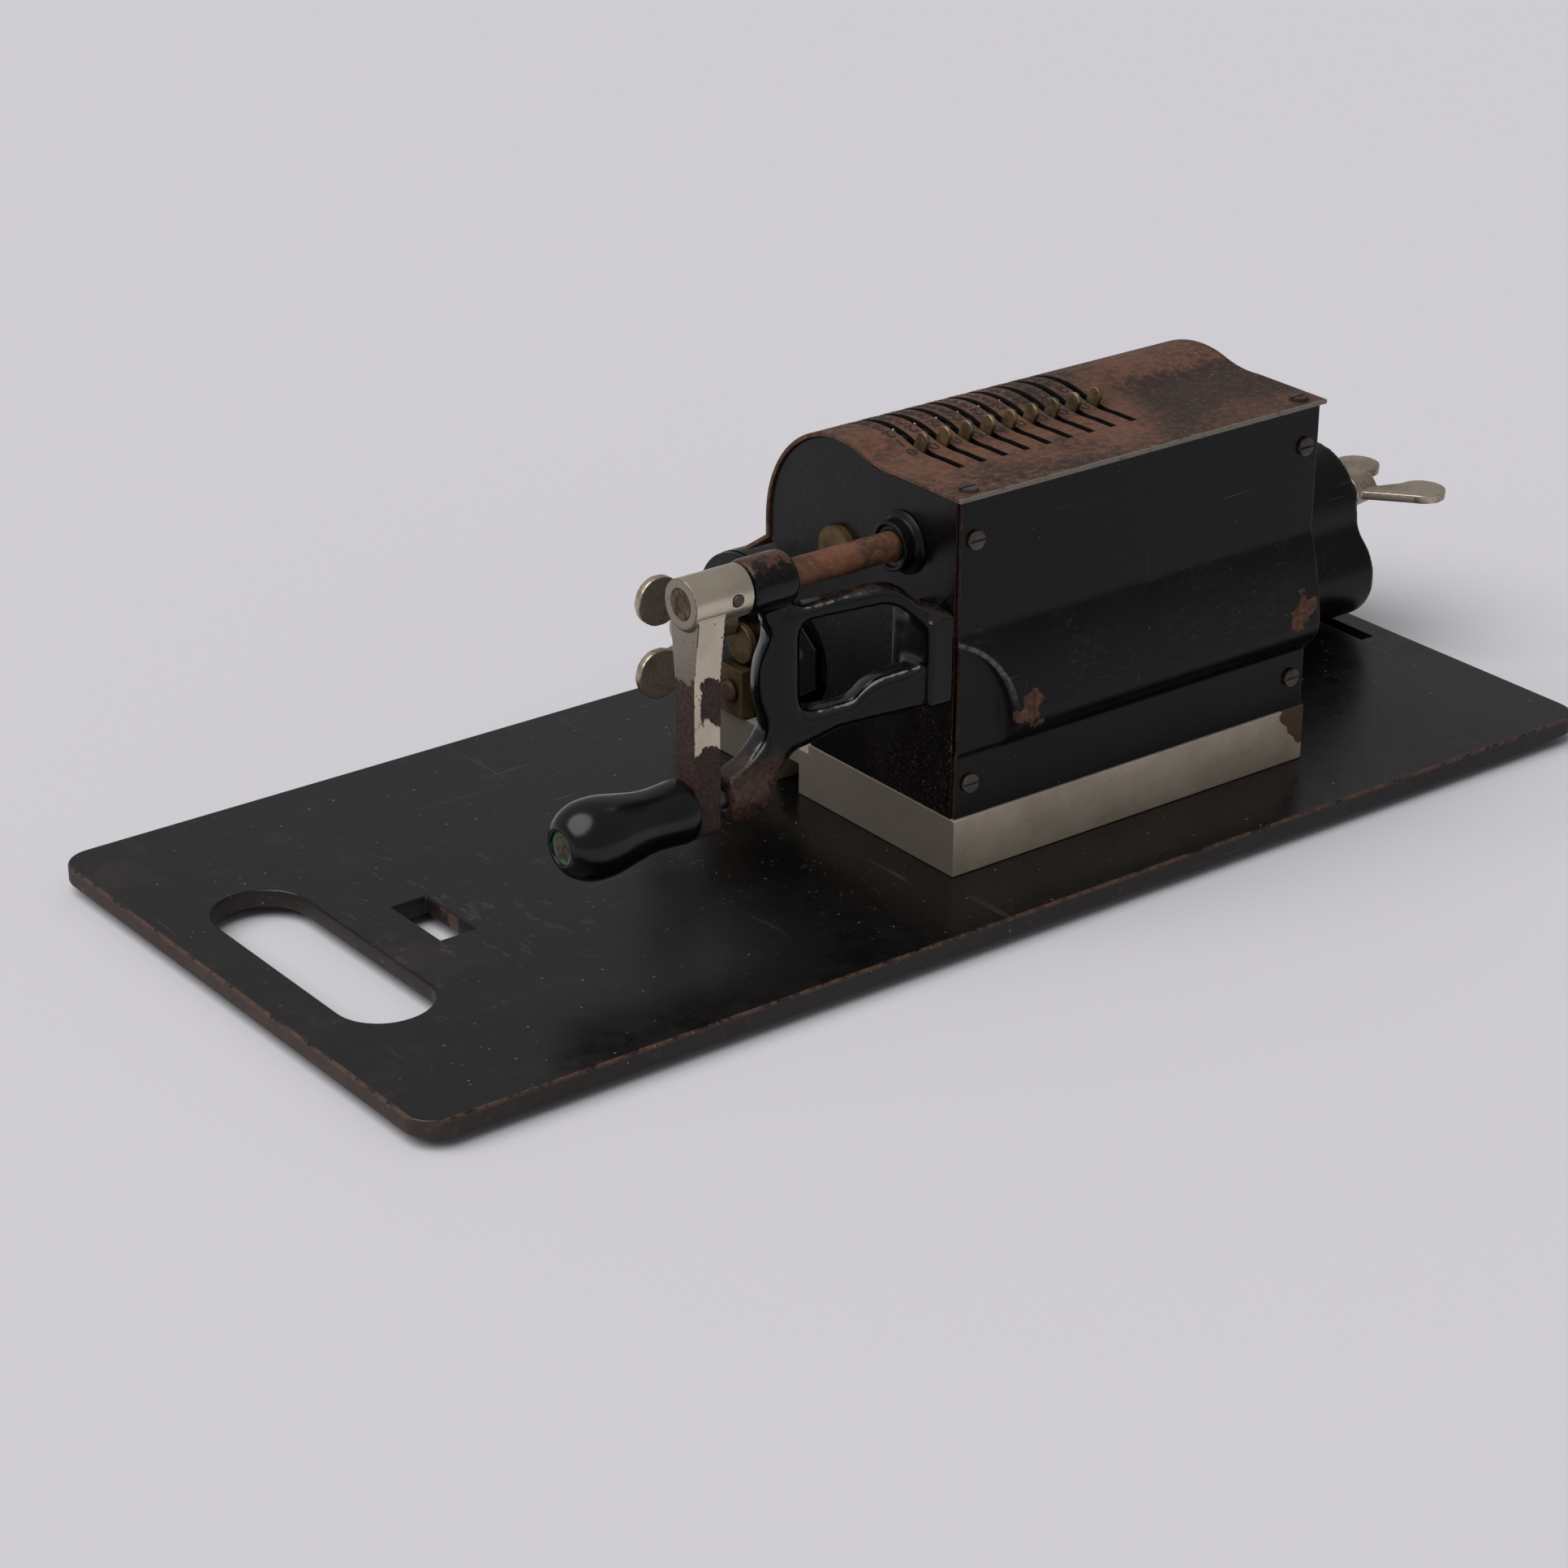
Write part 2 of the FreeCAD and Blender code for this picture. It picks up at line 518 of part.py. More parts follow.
def make_top_cover():
    body = keep(new_body("top_cover"))
    sketch = new_sketch(body, "YZ_Plane", "base_left - cover_overhang")
    rise = "sqrt(hump_radius^2 - (dip_front - drum_y)^2)"
    inner = "(hump_radius - cover_sheet)"
    share = f"({inner} / hump_radius)"
    outline(sketch, [
        ("lip_y", "lip_z"), ("lip_y + cover_sheet", "lip_z - cover_sheet / 2"),
        (f"drum_y - {inner}", "lip_bend_z - cover_sheet / 2"), (f"drum_y - {inner}", "drum_z", f"-{inner}"),
        (f"drum_y + (dip_front - drum_y) * {share}", f"drum_z + {rise} * {share}",
         "dip_radius + cover_sheet"),
        ("dip_rear", "cover_flat_z - cover_sheet"), ("cover_rear", "cover_flat_z - cover_sheet"),
        ("cover_rear", "cover_flat_z"), ("dip_rear", "cover_flat_z", "-dip_radius"),
        ("dip_front", f"drum_z + {rise}", "hump_radius"), ("drum_y - hump_radius", "drum_z"),
        ("drum_y - hump_radius", "lip_bend_z")])
    pad(body, sketch, "base_right - base_left + 2 * cover_overhang")
    slots = new_sketch(body, "XY_Plane", "cover_flat_z + hump_radius")
    rectangle(slots, "lever_first_x - slot_width / 2", "lever_first_x + slot_width / 2", "slot_front",
              "slot_rear")
    along(body, pocket(body, slots), "lever_count", "digit_pitch")
    holes = new_sketch(body, "XY_Plane", "cover_flat_z")
    for x in ("post_left_x", "post_right_x"):
        circle(holes, x, "post_y", "screw_radius + hole_gap")
    pocket(body, holes, "cover_sheet")


def make_bearings():
    for label, inner, outer in (("drum_bush_right", "plate_right", "base_right + bush_out"),
                                ("drum_bush_left", "plate_left", "base_left - bush_out")):
        bush = keep(new_body(label, y="drum_y", z="board_top + drum_z"))
        turn(bush, [(inner, "journal_radius + run_gap"), (outer, "journal_radius + run_gap"),
                    (outer, "bush_radius"), (inner, "bush_radius")])
    boss = keep(new_body("crank_bearing", y="crank_y", z="board_top + crank_z"))
    bore = "crank_shaft_radius + run_gap"
    face = "base_right + boss_out"
    flange = "base_right + boss_flange"
    turn(boss, [
        ("plate_right", bore), (f"{face} - boss_sunk", bore), (f"{face} - boss_sunk", "boss_well"),
        (face, "boss_well"),
        (face, "boss_radius"), (flange, "boss_radius"), (flange, "boss_flange_radius"),
        ("base_right", "boss_flange_radius"), ("base_right", "spigot_radius"),
        ("plate_right", "spigot_radius")])


def gear_teeth_on(body, left, width):
    tooth = new_sketch(body, "YZ_Plane", left)
    root = "gear_module * (gear_teeth / 2 - 1.3)"
    tip = "gear_module * (gear_teeth / 2 + 0.85)"
    outline(tooth, [(root, "-0.72 * gear_module"), (tip, "-0.36 * gear_module"),
                    (tip, "0.36 * gear_module"), (root, "0.72 * gear_module")])
    around(body, pad(body, tooth, width), "gear_teeth")


def make_gears():
    root = "gear_module * (gear_teeth / 2 - 1.2)"
    right = "gear_left + gear_width"
    drum_gear = keep(new_body("drum_gear", y="drum_y", z="board_top + drum_z", axis=xAxis,
                              angle="drum_mesh"))
    collar = "lever_first_x + lever_half + stack_gap"
    bore = "drum_shaft_radius + pin_gap"
    turn(drum_gear, [
        (collar, bore), (f"{right} + gear_hub_length", bore),
        (f"{right} + gear_hub_length", "gear_hub_radius"),
        (right, "gear_hub_radius"), (right, root), ("gear_left", root), ("gear_left", "gear_hub_radius"),
        (f"{collar} + flange_thickness", "gear_hub_radius"),
        (f"{collar} + flange_thickness", "flange_radius"),
        (collar, "flange_radius")])
    gear_teeth_on(drum_gear, "gear_left", "gear_width")
    crank_gear = keep(new_body("crank_gear", y="crank_y", z="board_top + crank_z", axis=vector(-1, 0, 0),
                               angle="180 - drum_mesh - 180 / gear_teeth"))
    bore = "crank_shaft_radius + pin_gap"
    turn(crank_gear, [("gear_left", bore), (f"{right} + gear_hub_length", bore),
                      (f"{right} + gear_hub_length", "gear_hub_radius"), (right, "gear_hub_radius"),
                      (right, root), ("gear_left", root)])
    gear_teeth_on(crank_gear, "gear_left", "gear_width")


def stack_profile(body):
    # One wheel of the drum: a disc, the hub that carries its setting ring, and the spacer whose
    # flange holds the next ring in place.
    bore = "drum_shaft_radius + pin_gap"
    disc = "lever_half + disc_thickness"
    end = "digit_pitch - lever_half - stack_gap"
    turn(body, [
        ("lever_half", bore), ("lever_half", "hub_radius"), ("-lever_half", "hub_radius"),
        ("-lever_half", "disc_radius"), (f"-({disc})", "disc_radius"), (f"-({disc})", "spacer_radius"),
        (f"-({end} - flange_thickness)", "spacer_radius"), (f"-({end} - flange_thickness)", "flange_radius"),
        (f"-({end})", "flange_radius"), (f"-({end})", bore)])


def make_drum():
    shaft = keep(new_body("drum_shaft", y="drum_y", z="board_top + drum_z"))
    right = "base_right + bush_out"
    left = "base_left - bush_out"
    turn(shaft, [
        (left, "0"), (right, "0"), (right, "journal_radius"),
        ("plate_right - shoulder_gap", "journal_radius"),
        ("plate_right - shoulder_gap", "drum_shaft_radius"),
        ("plate_left + shoulder_gap", "drum_shaft_radius"),
        ("plate_left + shoulder_gap", "journal_radius"), (left, "journal_radius")])
    wheel = new_body("pinwheel", y="drum_y", z="board_top + drum_z")
    stack_profile(wheel)
    groove = new_sketch(wheel, "YZ_Plane", "-lever_half")
    rectangle(groove, "-pin_width / 2 - pin_gap", "pin_width / 2 + pin_gap", "pin_inner - pin_gap",
              "disc_radius + 1")
    around(wheel, pocket(wheel, groove, "pin_depth + pin_gap"), "pin_count", "(pin_count - 1) * pin_step")
    keep(group("pinwheels", [copy_of(wheel, digit_x(i)) for i in range(sizes["lever_count"])]))
    pin = box("pin", "-lever_half - pin_depth", "-pin_width / 2", "pin_inner", "pin_depth", "pin_width",
              "disc_radius - pin_inner - pin_gap")
    fan = group("pin_fan",
                [copy_of(pin, axis=xAxis, angle=f"{i} * pin_step") for i in range(sizes["pin_count"])])
    keep(group("setting_pins", [copy_of(fan, digit_x(i), "drum_y", "board_top + drum_z")
                                for i in range(sizes["lever_count"])]))
    disc = new_body("carry_disc", y="drum_y", z="board_top + drum_z")
    stack_profile(disc)
    keep(group("carry_discs", [copy_of(disc, digit_x(i))
                               for i in range(sizes["lever_count"], sizes["result_digits"])]))
    finger = keep(new_body("counting_finger", y="drum_y", z="board_top + drum_z", axis=xAxis, angle="161.5"))
    bore = "drum_shaft_radius + pin_gap"
    face = "finger_x - lever_half"
    turn(finger, [
        (f"{digit_x('result_digits')} + lever_half", bore),
        (f"{digit_x('result_digits')} + lever_half", "spacer_radius"),
        (face, "spacer_radius"), (face, "flange_radius"), (f"{face} - disc_thickness", "flange_radius"),
        (f"{face} - disc_thickness", bore)])
    arm = new_sketch(finger, "YZ_Plane", f"{face} - disc_thickness")
    outline(arm, [("flange_radius - 2", "-finger_width"), ("finger_reach", "-finger_width / 3"),
                  ("finger_reach", "finger_width / 3"), ("flange_radius - 2", "finger_width")])
    pad(finger, arm, "disc_thickness")


def cam_track(sketch, track, centre):
    low = f"({track})"
    high = f"({track} + cam_width)"
    start = f"({centre} - cam_half_angle)"
    end = f"({centre} + cam_half_angle)"
    outline(sketch, [
        (f"{low} * cos({end})", f"{low} * sin({end})", f"-{low}"),
        (f"{low} * cos({start})", f"{low} * sin({start})"),
        (f"{high} * cos({start})", f"{high} * sin({start})", high),
        (f"{high} * cos({end})", f"{high} * sin({end})")])


def make_levers():
    for index in range(sizes["lever_count"]):
        body = keep(new_body(f"setting_lever_{index + 1}", x=digit_x(index), y="drum_y",
                             z="board_top + drum_z",
                             axis=vector(-1, 0, 0), angle="lever_rest"))
        ring = new_sketch(body, "YZ_Plane", "-ring_thickness / 2")
        circle(ring, "0", "0", "ring_outer")
        circle(ring, "0", "0", "hub_radius + run_gap")
        pad(body, ring, "ring_thickness")
        tab = new_sketch(body, "YZ_Plane", "-ring_thickness / 2")
        shoulder = "tab_tip - tab_round + sqrt(tab_round^2 - tab_width^2 / 4)"
        outline(tab,
                [("-tab_width / 2", "ring_outer - tab_width"), ("tab_width / 2", "ring_outer - tab_width"),
                      ("tab_width / 2 - tab_lean", shoulder, "tab_round"),
                      ("-tab_width / 2 - tab_lean", shoulder)])
        pad(body, tab, "ring_thickness")
        track = new_sketch(body, "YZ_Plane", "ring_thickness / 2")
        cam_track(track, "cam_inner", "180")
        cam_track(track, "cam_inner + cam_lift", "0")
        pocket(body, track)


def make_crank():
    bar = cross_rod("crank_bar", "crank_shaft_radius", "crank_shaft_left", "hub_right", "crank_y", "crank_z")
    arm = keep(new_body("crank_arm", y="crank_y", z="board_top + crank_z"))
    bore = "crank_shaft_radius + pin_gap"
    turn(arm, [("bearing_right + crank_gap", bore), ("hub_right", bore), ("hub_right", "crank_hub_radius"),
               ("bearing_right + crank_gap", "crank_hub_radius")])
    blade = new_sketch(arm, "YZ_Plane", "arm_left")
    foot = "-(crank_radius + arm_foot - arm_round)"
    outline(blade, [
        ("-arm_width / 2", foot, "arm_round"), ("arm_width / 2", foot),
        ("arm_width / 2", "-3 * crank_hub_radius"), ("crank_hub_radius - 0.6", "-crank_hub_radius / 2"),
        ("crank_hub_radius - 1.6", "-crank_hub_radius / 3"),
        ("crank_hub_radius - 3", "-crank_shaft_radius / 3"),
        ("3 - crank_hub_radius", "-crank_shaft_radius / 3"),
        ("1.6 - crank_hub_radius", "-crank_hub_radius / 3"),
        ("0.6 - crank_hub_radius", "-crank_hub_radius / 2"), ("-arm_width / 2", "-3 * crank_hub_radius")])
    pad(arm, blade, "arm_thickness")
    holes = new_sketch(arm, "YZ_Plane", "hub_right")
    circle(holes, "0", "0", bore)
    circle(holes, "0", "-crank_radius", "spindle_radius + run_gap")
    pocket(arm, holes)
    cross = new_sketch(arm, "XZ_Plane", "-crank_hub_radius - 1")
    circle(cross, "cross_pin_x", "0", "cross_pin_radius + thread_gap")
    pocket(arm, cross, forward=True)
    pin_hole = rod("pin_hole", "cross_pin_radius + thread_gap", "3 * crank_hub_radius", "cross_pin_x",
                   "crank_y + 1.5 * crank_hub_radius", "board_top + crank_z", xAxis, "90")
    keep(cut("crank_shaft", bar, [pin_hole]))
    keep(rod("crank_cross_pin", "cross_pin_radius", "2 * crank_hub_radius + 1.2", "cross_pin_x",
             "crank_y + crank_hub_radius + 0.6", "board_top + crank_z", xAxis, "90"))


def make_handle():
    spindle = keep(new_body("handle_spindle", y="crank_y", z="board_top + handle_z"))
    end = "grip_right - end_disc_sunk"
    nose = "tip_right - nose_depth"
    turn(spindle, [
        (nose, "0"), (f"{end} - end_disc_thickness", "0"), (f"{end} - end_disc_thickness", "spindle_radius"),
        ("arm_left + crank_gap", "spindle_radius"), ("arm_left + crank_gap", "nose_radius"),
        (nose, "nose_radius")])
    grip = keep(new_body("handle_grip", y="crank_y", z="board_top + handle_z"))
    root = "arm_left + arm_thickness + grip_gap"
    well = "end_disc_radius + thread_gap"
    bore = "spindle_radius + thread_gap"
    bulb = "grip_radius * 1.02"
    turn(grip, [
        (root, bore), (f"{end} - end_disc_thickness - thread_gap", bore),
        (f"{end} - end_disc_thickness - thread_gap", well), ("grip_right", well),
        ("grip_right", "end_disc_radius + 1.2", bulb),
        ("grip_right - grip_bulb", "grip_radius", "belly_round"),
        (f"{root} + grip_neck", "grip_waist_radius", "-neck_round"), (root, "grip_root_radius")])
    disc = keep(new_body("handle_end_disc", y="crank_y", z="board_top + handle_z"))
    turn(disc, [(f"{end} - end_disc_thickness", "0"), (end, "0"), (end, "end_disc_radius"),
                (f"{end} - end_disc_thickness", "end_disc_radius")])


def make_bracket():
    # An open frame slants out from the side plate's rear edge to the outer bearing, and a leg runs on
    # down from it to the socket that takes the handle's nose.
    frame = new_body("bracket_frame", x="frame_start_x", y="crank_y", axis=vector(0, 0, -1),
                     angle="frame_slant")
    sketch = new_sketch(frame, "XZ_Plane")
    outline(sketch, [
        ("5", "crank_z - 8.5"), ("-3", "crank_z - 10.1"), ("-21", "crank_z - 7.3"),
        ("-32", "crank_z - 5.7", "14"), ("-41", "crank_z - 7.1"), ("-50", "crank_z - 13.5"),
        ("-66", "pad_high - 1"),
        ("-66", "pad_low"), ("-48", "pad_low - 0.5"), ("-35", "pad_low - 2.3"), ("-21.5", "pad_low - 4.3"),
        ("-9", "handle_z + 12.7", "-14"), ("2", "handle_z + 9.2"), ("3", "handle_z + 23", "30"),
        ("1", "crank_z - 18.5")])
    outline(sketch, [
        ("-7.6", "crank_z - 18", "4.2"), ("-11.6", "crank_z - 13.7"), ("-33", "crank_z - 11.1", "12"),
        ("-44.5", "crank_z - 14.5"), ("-49.5", "crank_z - 20", "4"), ("-51", "crank_z - 23"),
        ("-51", "pad_low + 17", "4"), ("-48", "pad_low + 14.2"), ("-38", "pad_low + 12", "-14"),
        ("-27", "pad_low + 4.3"), ("-14", "pad_low + 2.3", "4.5"), ("-7.6", "pad_low + 6.6")])
    pad(frame, sketch, "frame_thickness", centred=True)
    leg = new_body("bracket_leg", y="crank_y")
    lower = new_sketch(leg, "XZ_Plane")
    outline(lower, [
        ("frame_start_x - 8", "handle_z + 14.2"), ("frame_start_x", "handle_z + 4.2"),
        ("tip_left - 2", "handle_z - 5.8"),
        ("tip_left + 8", "handle_z - 8.8"), ("tip_right", "handle_z - 6.8"), ("tip_right", "handle_z + 7.2"),
        ("tip_left + 8", "handle_z + 10.7", "-18"), ("frame_start_x + 1.6", "handle_z + 24.2"),
        ("frame_start_x + 0.9", "crank_z - 8"), ("frame_start_x - 7", "crank_z - 8")])
    pad(leg, lower, "leg_thickness", centred=True)
    whole = joined("bracket_solid", [
        frame, leg,
        cross_rod("bearing_tube", "bearing_radius", "bearing_left", "bearing_right", "crank_y", "crank_z"),
        cross_rod("tip_boss", "tip_radius", "tip_left", "tip_right", "crank_y", "handle_z"),
        box("bracket_pad", "base_right", "pad_front", "board_top + pad_low", "pad_out",
            "pad_rear - pad_front",
            "pad_high - pad_low")])
    tools = [
        cross_rod("bearing_bore", "crank_shaft_radius + run_gap", "bearing_left - 30", "bearing_right + 1",
                  "crank_y", "crank_z"),
        cross_rod("nose_socket", "nose_hole", "tip_right - nose_depth - crank_gap", "tip_right + 1",
                  "crank_y", "handle_z"),
        box("inside_plate", "base_right - 60", "pad_front - 40", "board_top", "60", "80", "150")]
    for name, height in (("low", "pad_screw_low"), ("high", "pad_screw_high")):
        tools.append(cross_rod(f"pad_hole_{name}", "pad_screw_radius + thread_gap", "base_right - 1",
                               "base_right + pad_screw_bite + hole_gap", "pad_screw_y", height))
    keep(cut("crank_bracket", whole, tools))
    fastener = screw("bracket_screw", "pad_screw_radius", "plate_thickness + pad_screw_bite",
                     "pad_screw_head",
                     "pad_screw_head_height")
    keep(group("bracket_screws",
               [copy_of(fastener, "plate_right", "pad_screw_y", f"board_top + {height}", yAxis, "-90")
                                  for height in ("pad_screw_low", "pad_screw_high")]))


def make_carriage_frame():
    bed = keep(new_body("carriage_bed"))
    sketch = new_sketch(bed, "YZ_Plane", "housing_right")
    apron = "base_front - carriage_gap"
    rail_rear = "rail_rear + carriage_gap"
    rail_front = "rail_front - carriage_gap"
    groove = "deck_height + rail_height + carriage_gap"
    outline(sketch, [
        ("bed_rear", "bed_low"), ("bed_rear", "bed_top"), (f"{apron} - apron_thickness", "bed_top"),
        (f"{apron} - apron_thickness", "apron_low"), (apron, "apron_low"), (apron, "bed_low"),
        (rail_front, "bed_low"), (rail_front, groove), (rail_rear, groove), (rail_rear, "bed_low")])
    pad(bed, sketch, "end_plate_left - housing_right")

    end = keep(new_body("carriage_end_plate"))
    sketch = new_sketch(end, "YZ_Plane", "end_plate_left")
    outline(sketch, [
        ("idler_y + 9", "idler_z - 10"), ("idler_y + 9", "idler_z + 4"), ("idler_y + 1", "idler_z + 10"),
        ("number_y + end_round * cos(50)", "number_z + end_round * sin(50)", "end_round"),
        ("number_y + end_round * cos(195)", "number_z + end_round * sin(195)"),
        ("number_y - 25", "bed_top"), ("number_y - 25", "bed_low"), ("bed_rear", "bed_low"),
        ("bed_rear", "bed_top")])
    circle(sketch, "idler_y", "idler_z", "idler_axle_radius + thread_gap")
    circle(sketch, "number_y", "number_z", "clear_shaft_radius + run_gap")
    pad(end, sketch, "end_plate_thickness")

    middle = keep(new_body("carriage_mid_plate"))
    sketch = new_sketch(middle, "YZ_Plane", "mid_plate_left")
    outline(sketch, [
        ("bed_rear", "bed_top"), ("idler_y + 9", "idler_z - 10"), ("idler_y + 9", "idler_z + 4"),
        ("idler_y + 1", "idler_z + 10"), ("number_y + 15", "number_z + 13.5"),
        ("number_y", "number_z + 16.5", "18"),
        ("number_y - 17", "number_z + 7.5"), ("number_y - 20", "number_z - 7.5"),
        ("number_y - 25", "bed_top")])
    circle(sketch, "idler_y", "idler_z", "clear_shaft_radius + run_gap")
    circle(sketch, "number_y", "number_z", "clear_shaft_radius + run_gap")
    pad(middle, sketch, "mid_plate_thickness")

    housing = keep(new_body("carriage_housing"))
    sketch = new_sketch(housing, "YZ_Plane", "carriage_left")
    top = "lobe_z + lobe_radius"
    low = "belly_z - belly_radius"
    gap = "sqrt((belly_y - lobe_y)^2 + (lobe_z - belly_z)^2)"
    lobe = "(lobe_radius + waist_round)"
    belly = "(belly_radius + waist_round)"
    reach = f"(({lobe}^2 - {belly}^2 + {gap}^2) / (2 * {gap}))"
    side = f"sqrt({lobe}^2 - {reach}^2)"
    waist_y = f"(({reach} * (belly_y - lobe_y) + {side} * (lobe_z - belly_z)) / {gap})"
    waist_z = f"(({reach} * (belly_z - lobe_z) + {side} * (belly_y - lobe_y)) / {gap})"
    share = f"(belly_radius / {belly})"
    outline(sketch, [
        ("lobe_y", top, "-lobe_radius"),
        (f"lobe_y + {waist_y} * lobe_radius / {lobe}", f"lobe_z + {waist_z} * lobe_radius / {lobe}",
         "waist_round"),
        (f"belly_y + (lobe_y + {waist_y} - belly_y) * {share}",
         f"belly_z + (lobe_z + {waist_z} - belly_z) * {share}", "-belly_radius"),
        ("belly_y", low), ("housing_front + housing_wall", low), ("housing_front", f"{low} + housing_wall"),
        ("housing_front", f"{top} - housing_brow", "-housing_brow"), ("housing_front + housing_brow", top)])
    circle(sketch, "idler_y", "idler_z", "clear_shaft_radius + run_gap")
    pad(housing, sketch, "housing_right - carriage_left")
    hollow = new_sketch(housing, "YZ_Plane", "housing_right")
    rectangle(hollow, "housing_front + housing_wall", "lobe_y", f"{low} + housing_wall", "lobe_z")
    pocket(housing, hollow, "housing_right - carriage_left - housing_wall")


def register_cover(label, y, z, edge, left, right, first, count):
    body = keep(new_body(label, y=y))
    sketch = new_sketch(body, "YZ_Plane", left)
    inner = "(register_radius - register_sheet)"
    outline(sketch, [
        (f"register_radius * cos({edge})", f"{z} + register_radius * sin({edge})", "register_radius"),
        ("-register_radius", z), ("-register_radius", "bed_top"), (f"-{inner}", "bed_top"),
        (f"-{inner}", z, f"-{inner}"), (f"{inner} * cos({edge})", f"{z} + {inner} * sin({edge})")])
    pad(body, sketch, f"{right} - ({left})")
    centre = f"{first} + lever_half + figure_width / 2"
    sides = (f"{centre} - window_width / 2", f"{centre} + window_width / 2")
    if label == "result_cover":
        window = new_sketch(body, "XY_Plane", f"{z} + register_radius + 1")
        rectangle(window, *sides, "-window_front", "-window_rear")
    else:
        window = new_sketch(body, "XZ_Plane", "register_radius + 1")
        rectangle(window, *sides, f"{z} + window_low", f"{z} + window_high")
    along(body, pocket(body, window, "register_radius"), count, "digit_pitch")


def figure_wheel(label, y, hub, angle):
    body = new_body(label, y=y, z="board_top + " + y.replace("_y", "_z"), axis=xAxis, angle=angle)
    right = "-(lever_half + wheel_inset)"
    left = f"{right} - wheel_width"
    bore = "clear_shaft_radius + run_gap"
    figures = "lever_half + wheel_inset"
    turn(body, [
        (left, bore), (f"{figures} + figure_width", bore), (f"{figures} + figure_width", "figure_radius"),
        (figures, "figure_radius"), (figures, hub), (right, hub), (right, "tooth_root"),
        (left, "tooth_root")])
    wheel_teeth_on(body, left)
    return body


def wheel_teeth_on(body, left):
    tooth = new_sketch(body, "YZ_Plane", left)
    outline(tooth, [("tooth_root - 0.6", "-tooth_base_width / 2"), ("tooth_tip", "-tooth_tip_width / 2"),
                    ("tooth_tip", "tooth_tip_width / 2"), ("tooth_root - 0.6", "tooth_base_width / 2")])
    around(body, pad(body, tooth, "wheel_width"), "wheel_teeth")


def make_registers():
    register_cover("result_cover", "number_y", "number_z", "result_edge_angle", "mid_plate_right",
                   "end_plate_left",
                   "lever_first_x", "result_digits")
    register_cover("counter_cover", "idler_y", "idler_z", "counter_edge_angle", "housing_right",
                   "mid_plate_left",
                   "finger_x", "counter_digits")
    result = figure_wheel("result_wheel", "number_y", "wheel_hub", "wheel_mesh + 180 / wheel_teeth - 180")
    keep(group("result_wheels", [copy_of(result, digit_x(i)) for i in range(sizes["result_digits"])]))
    counter = figure_wheel("counter_wheel", "idler_y", "counter_hub", "wheel_mesh")
    first = sizes["result_digits"] + 1
    keep(group("counter_wheels",
               [copy_of(counter, digit_x(first + i)) for i in range(sizes["counter_digits"])]))
    idler = new_body("idler_gear", y="idler_y", z="board_top + idler_z", axis=xAxis, angle="wheel_mesh")
    right = "-(lever_half + wheel_inset)"
    left = f"{right} - wheel_width"
    bore = "idler_axle_radius + run_gap"
    end = f"{left} + digit_pitch - side_gap"
    turn(idler, [(left, bore), (end, bore), (end, "idler_hub"), (right, "idler_hub"), (right, "tooth_root"),
                 (left, "tooth_root")])
    wheel_teeth_on(idler, left)
    keep(group("idler_gears", [copy_of(idler, digit_x(i)) for i in range(sizes["result_digits"])]))
    middle = "mid_plate_left + mid_plate_thickness / 2"
    keep(cross_rod("idler_axle", "idler_axle_radius", f"{middle} + run_gap", "end_plate_right", "idler_y",
                   "idler_z"))


def wing_nut(label, x, y, z, facing, ears, side_name):
    # The ears lie in the plane of the shaft, and flare away from the carriage.
    nut = keep(new_body(label, x=x, y=y, z=f"board_top + {z}"))
    length = f"{side_name}_hub_length"
    bore = "clear_shaft_radius + thread_gap"
    turn(nut, [("0", bore), (f"{facing} * {length}", bore),
               (f"{facing} * {length}", "wing_hub_radius * 0.8"), ("0", "wing_hub_radius")])
    for side in (-1, 1):
        neck = new_sketch(nut, ears)
        lobe = new_sketch(nut, ears)
        outward = f"{facing} * {side_name}_lobe_out"
        upward = f"{side} * {side_name}_lobe_up"
        root = f"{side} * (wing_hub_radius * 0.75)"
        corners = [
            (f"{facing} * ({length} - wing_root)", root), (f"{facing} * {length} * 0.95", root),
            (f"{outward} + {facing} * wing_neck", f"{upward} - {side} * wing_neck"),
            (f"{outward} - {facing} * wing_neck", f"{upward} + {side} * wing_neck")]
        outline(neck, corners)
        circle(lobe, outward, upward, "wing_lobe_radius")
        pad(nut, neck, "wing_thickness", centred=True)
        pad(nut, lobe, "wing_thickness", centred=True)


def make_clearing():
    middle = "mid_plate_left + mid_plate_thickness / 2"
    wing_nut("wing_nut_right", "wing_right_x", "number_y", "number_z", 1, "XZ_Plane", "right")
    keep(cross_rod("result_shaft", "clear_shaft_radius", "mid_plate_left", "wing_right_x + right_hub_length",
                   "number_y", "number_z"))
    wing_nut("wing_nut_left", "carriage_left - crank_gap", "idler_y", "idler_z", -1, "XY_Plane", "left")
    keep(cross_rod("counter_shaft", "clear_shaft_radius", "carriage_left - crank_gap - left_hub_length",
                   f"{middle} - run_gap", "idler_y", "idler_z"))
    keep(box("stop_block", "end_plate_right", "stop_front", "board_top + stop_low", "stop_thickness",
             "stop_rear - stop_front", "stop_high - stop_low"))
    keep(cross_rod("stop_rivet", "rivet_radius", "end_plate_right + stop_thickness",
                   "end_plate_right + stop_thickness + rivet_height", "rivet_y", "rivet_z"))
    keep(cross_rod("end_collar", "collar_radius", "end_plate_right", "end_plate_right + collar_thickness",
                   "collar_y", "collar_z"))


make_board()
make_base()
make_side_plates()
make_posts()
make_back_cover()
make_top_cover()
make_bearings()
make_gears()
make_drum()
make_levers()
make_crank()
make_handle()
make_bracket()
make_carriage_frame()
make_registers()
make_clearing()
doc.recompute()

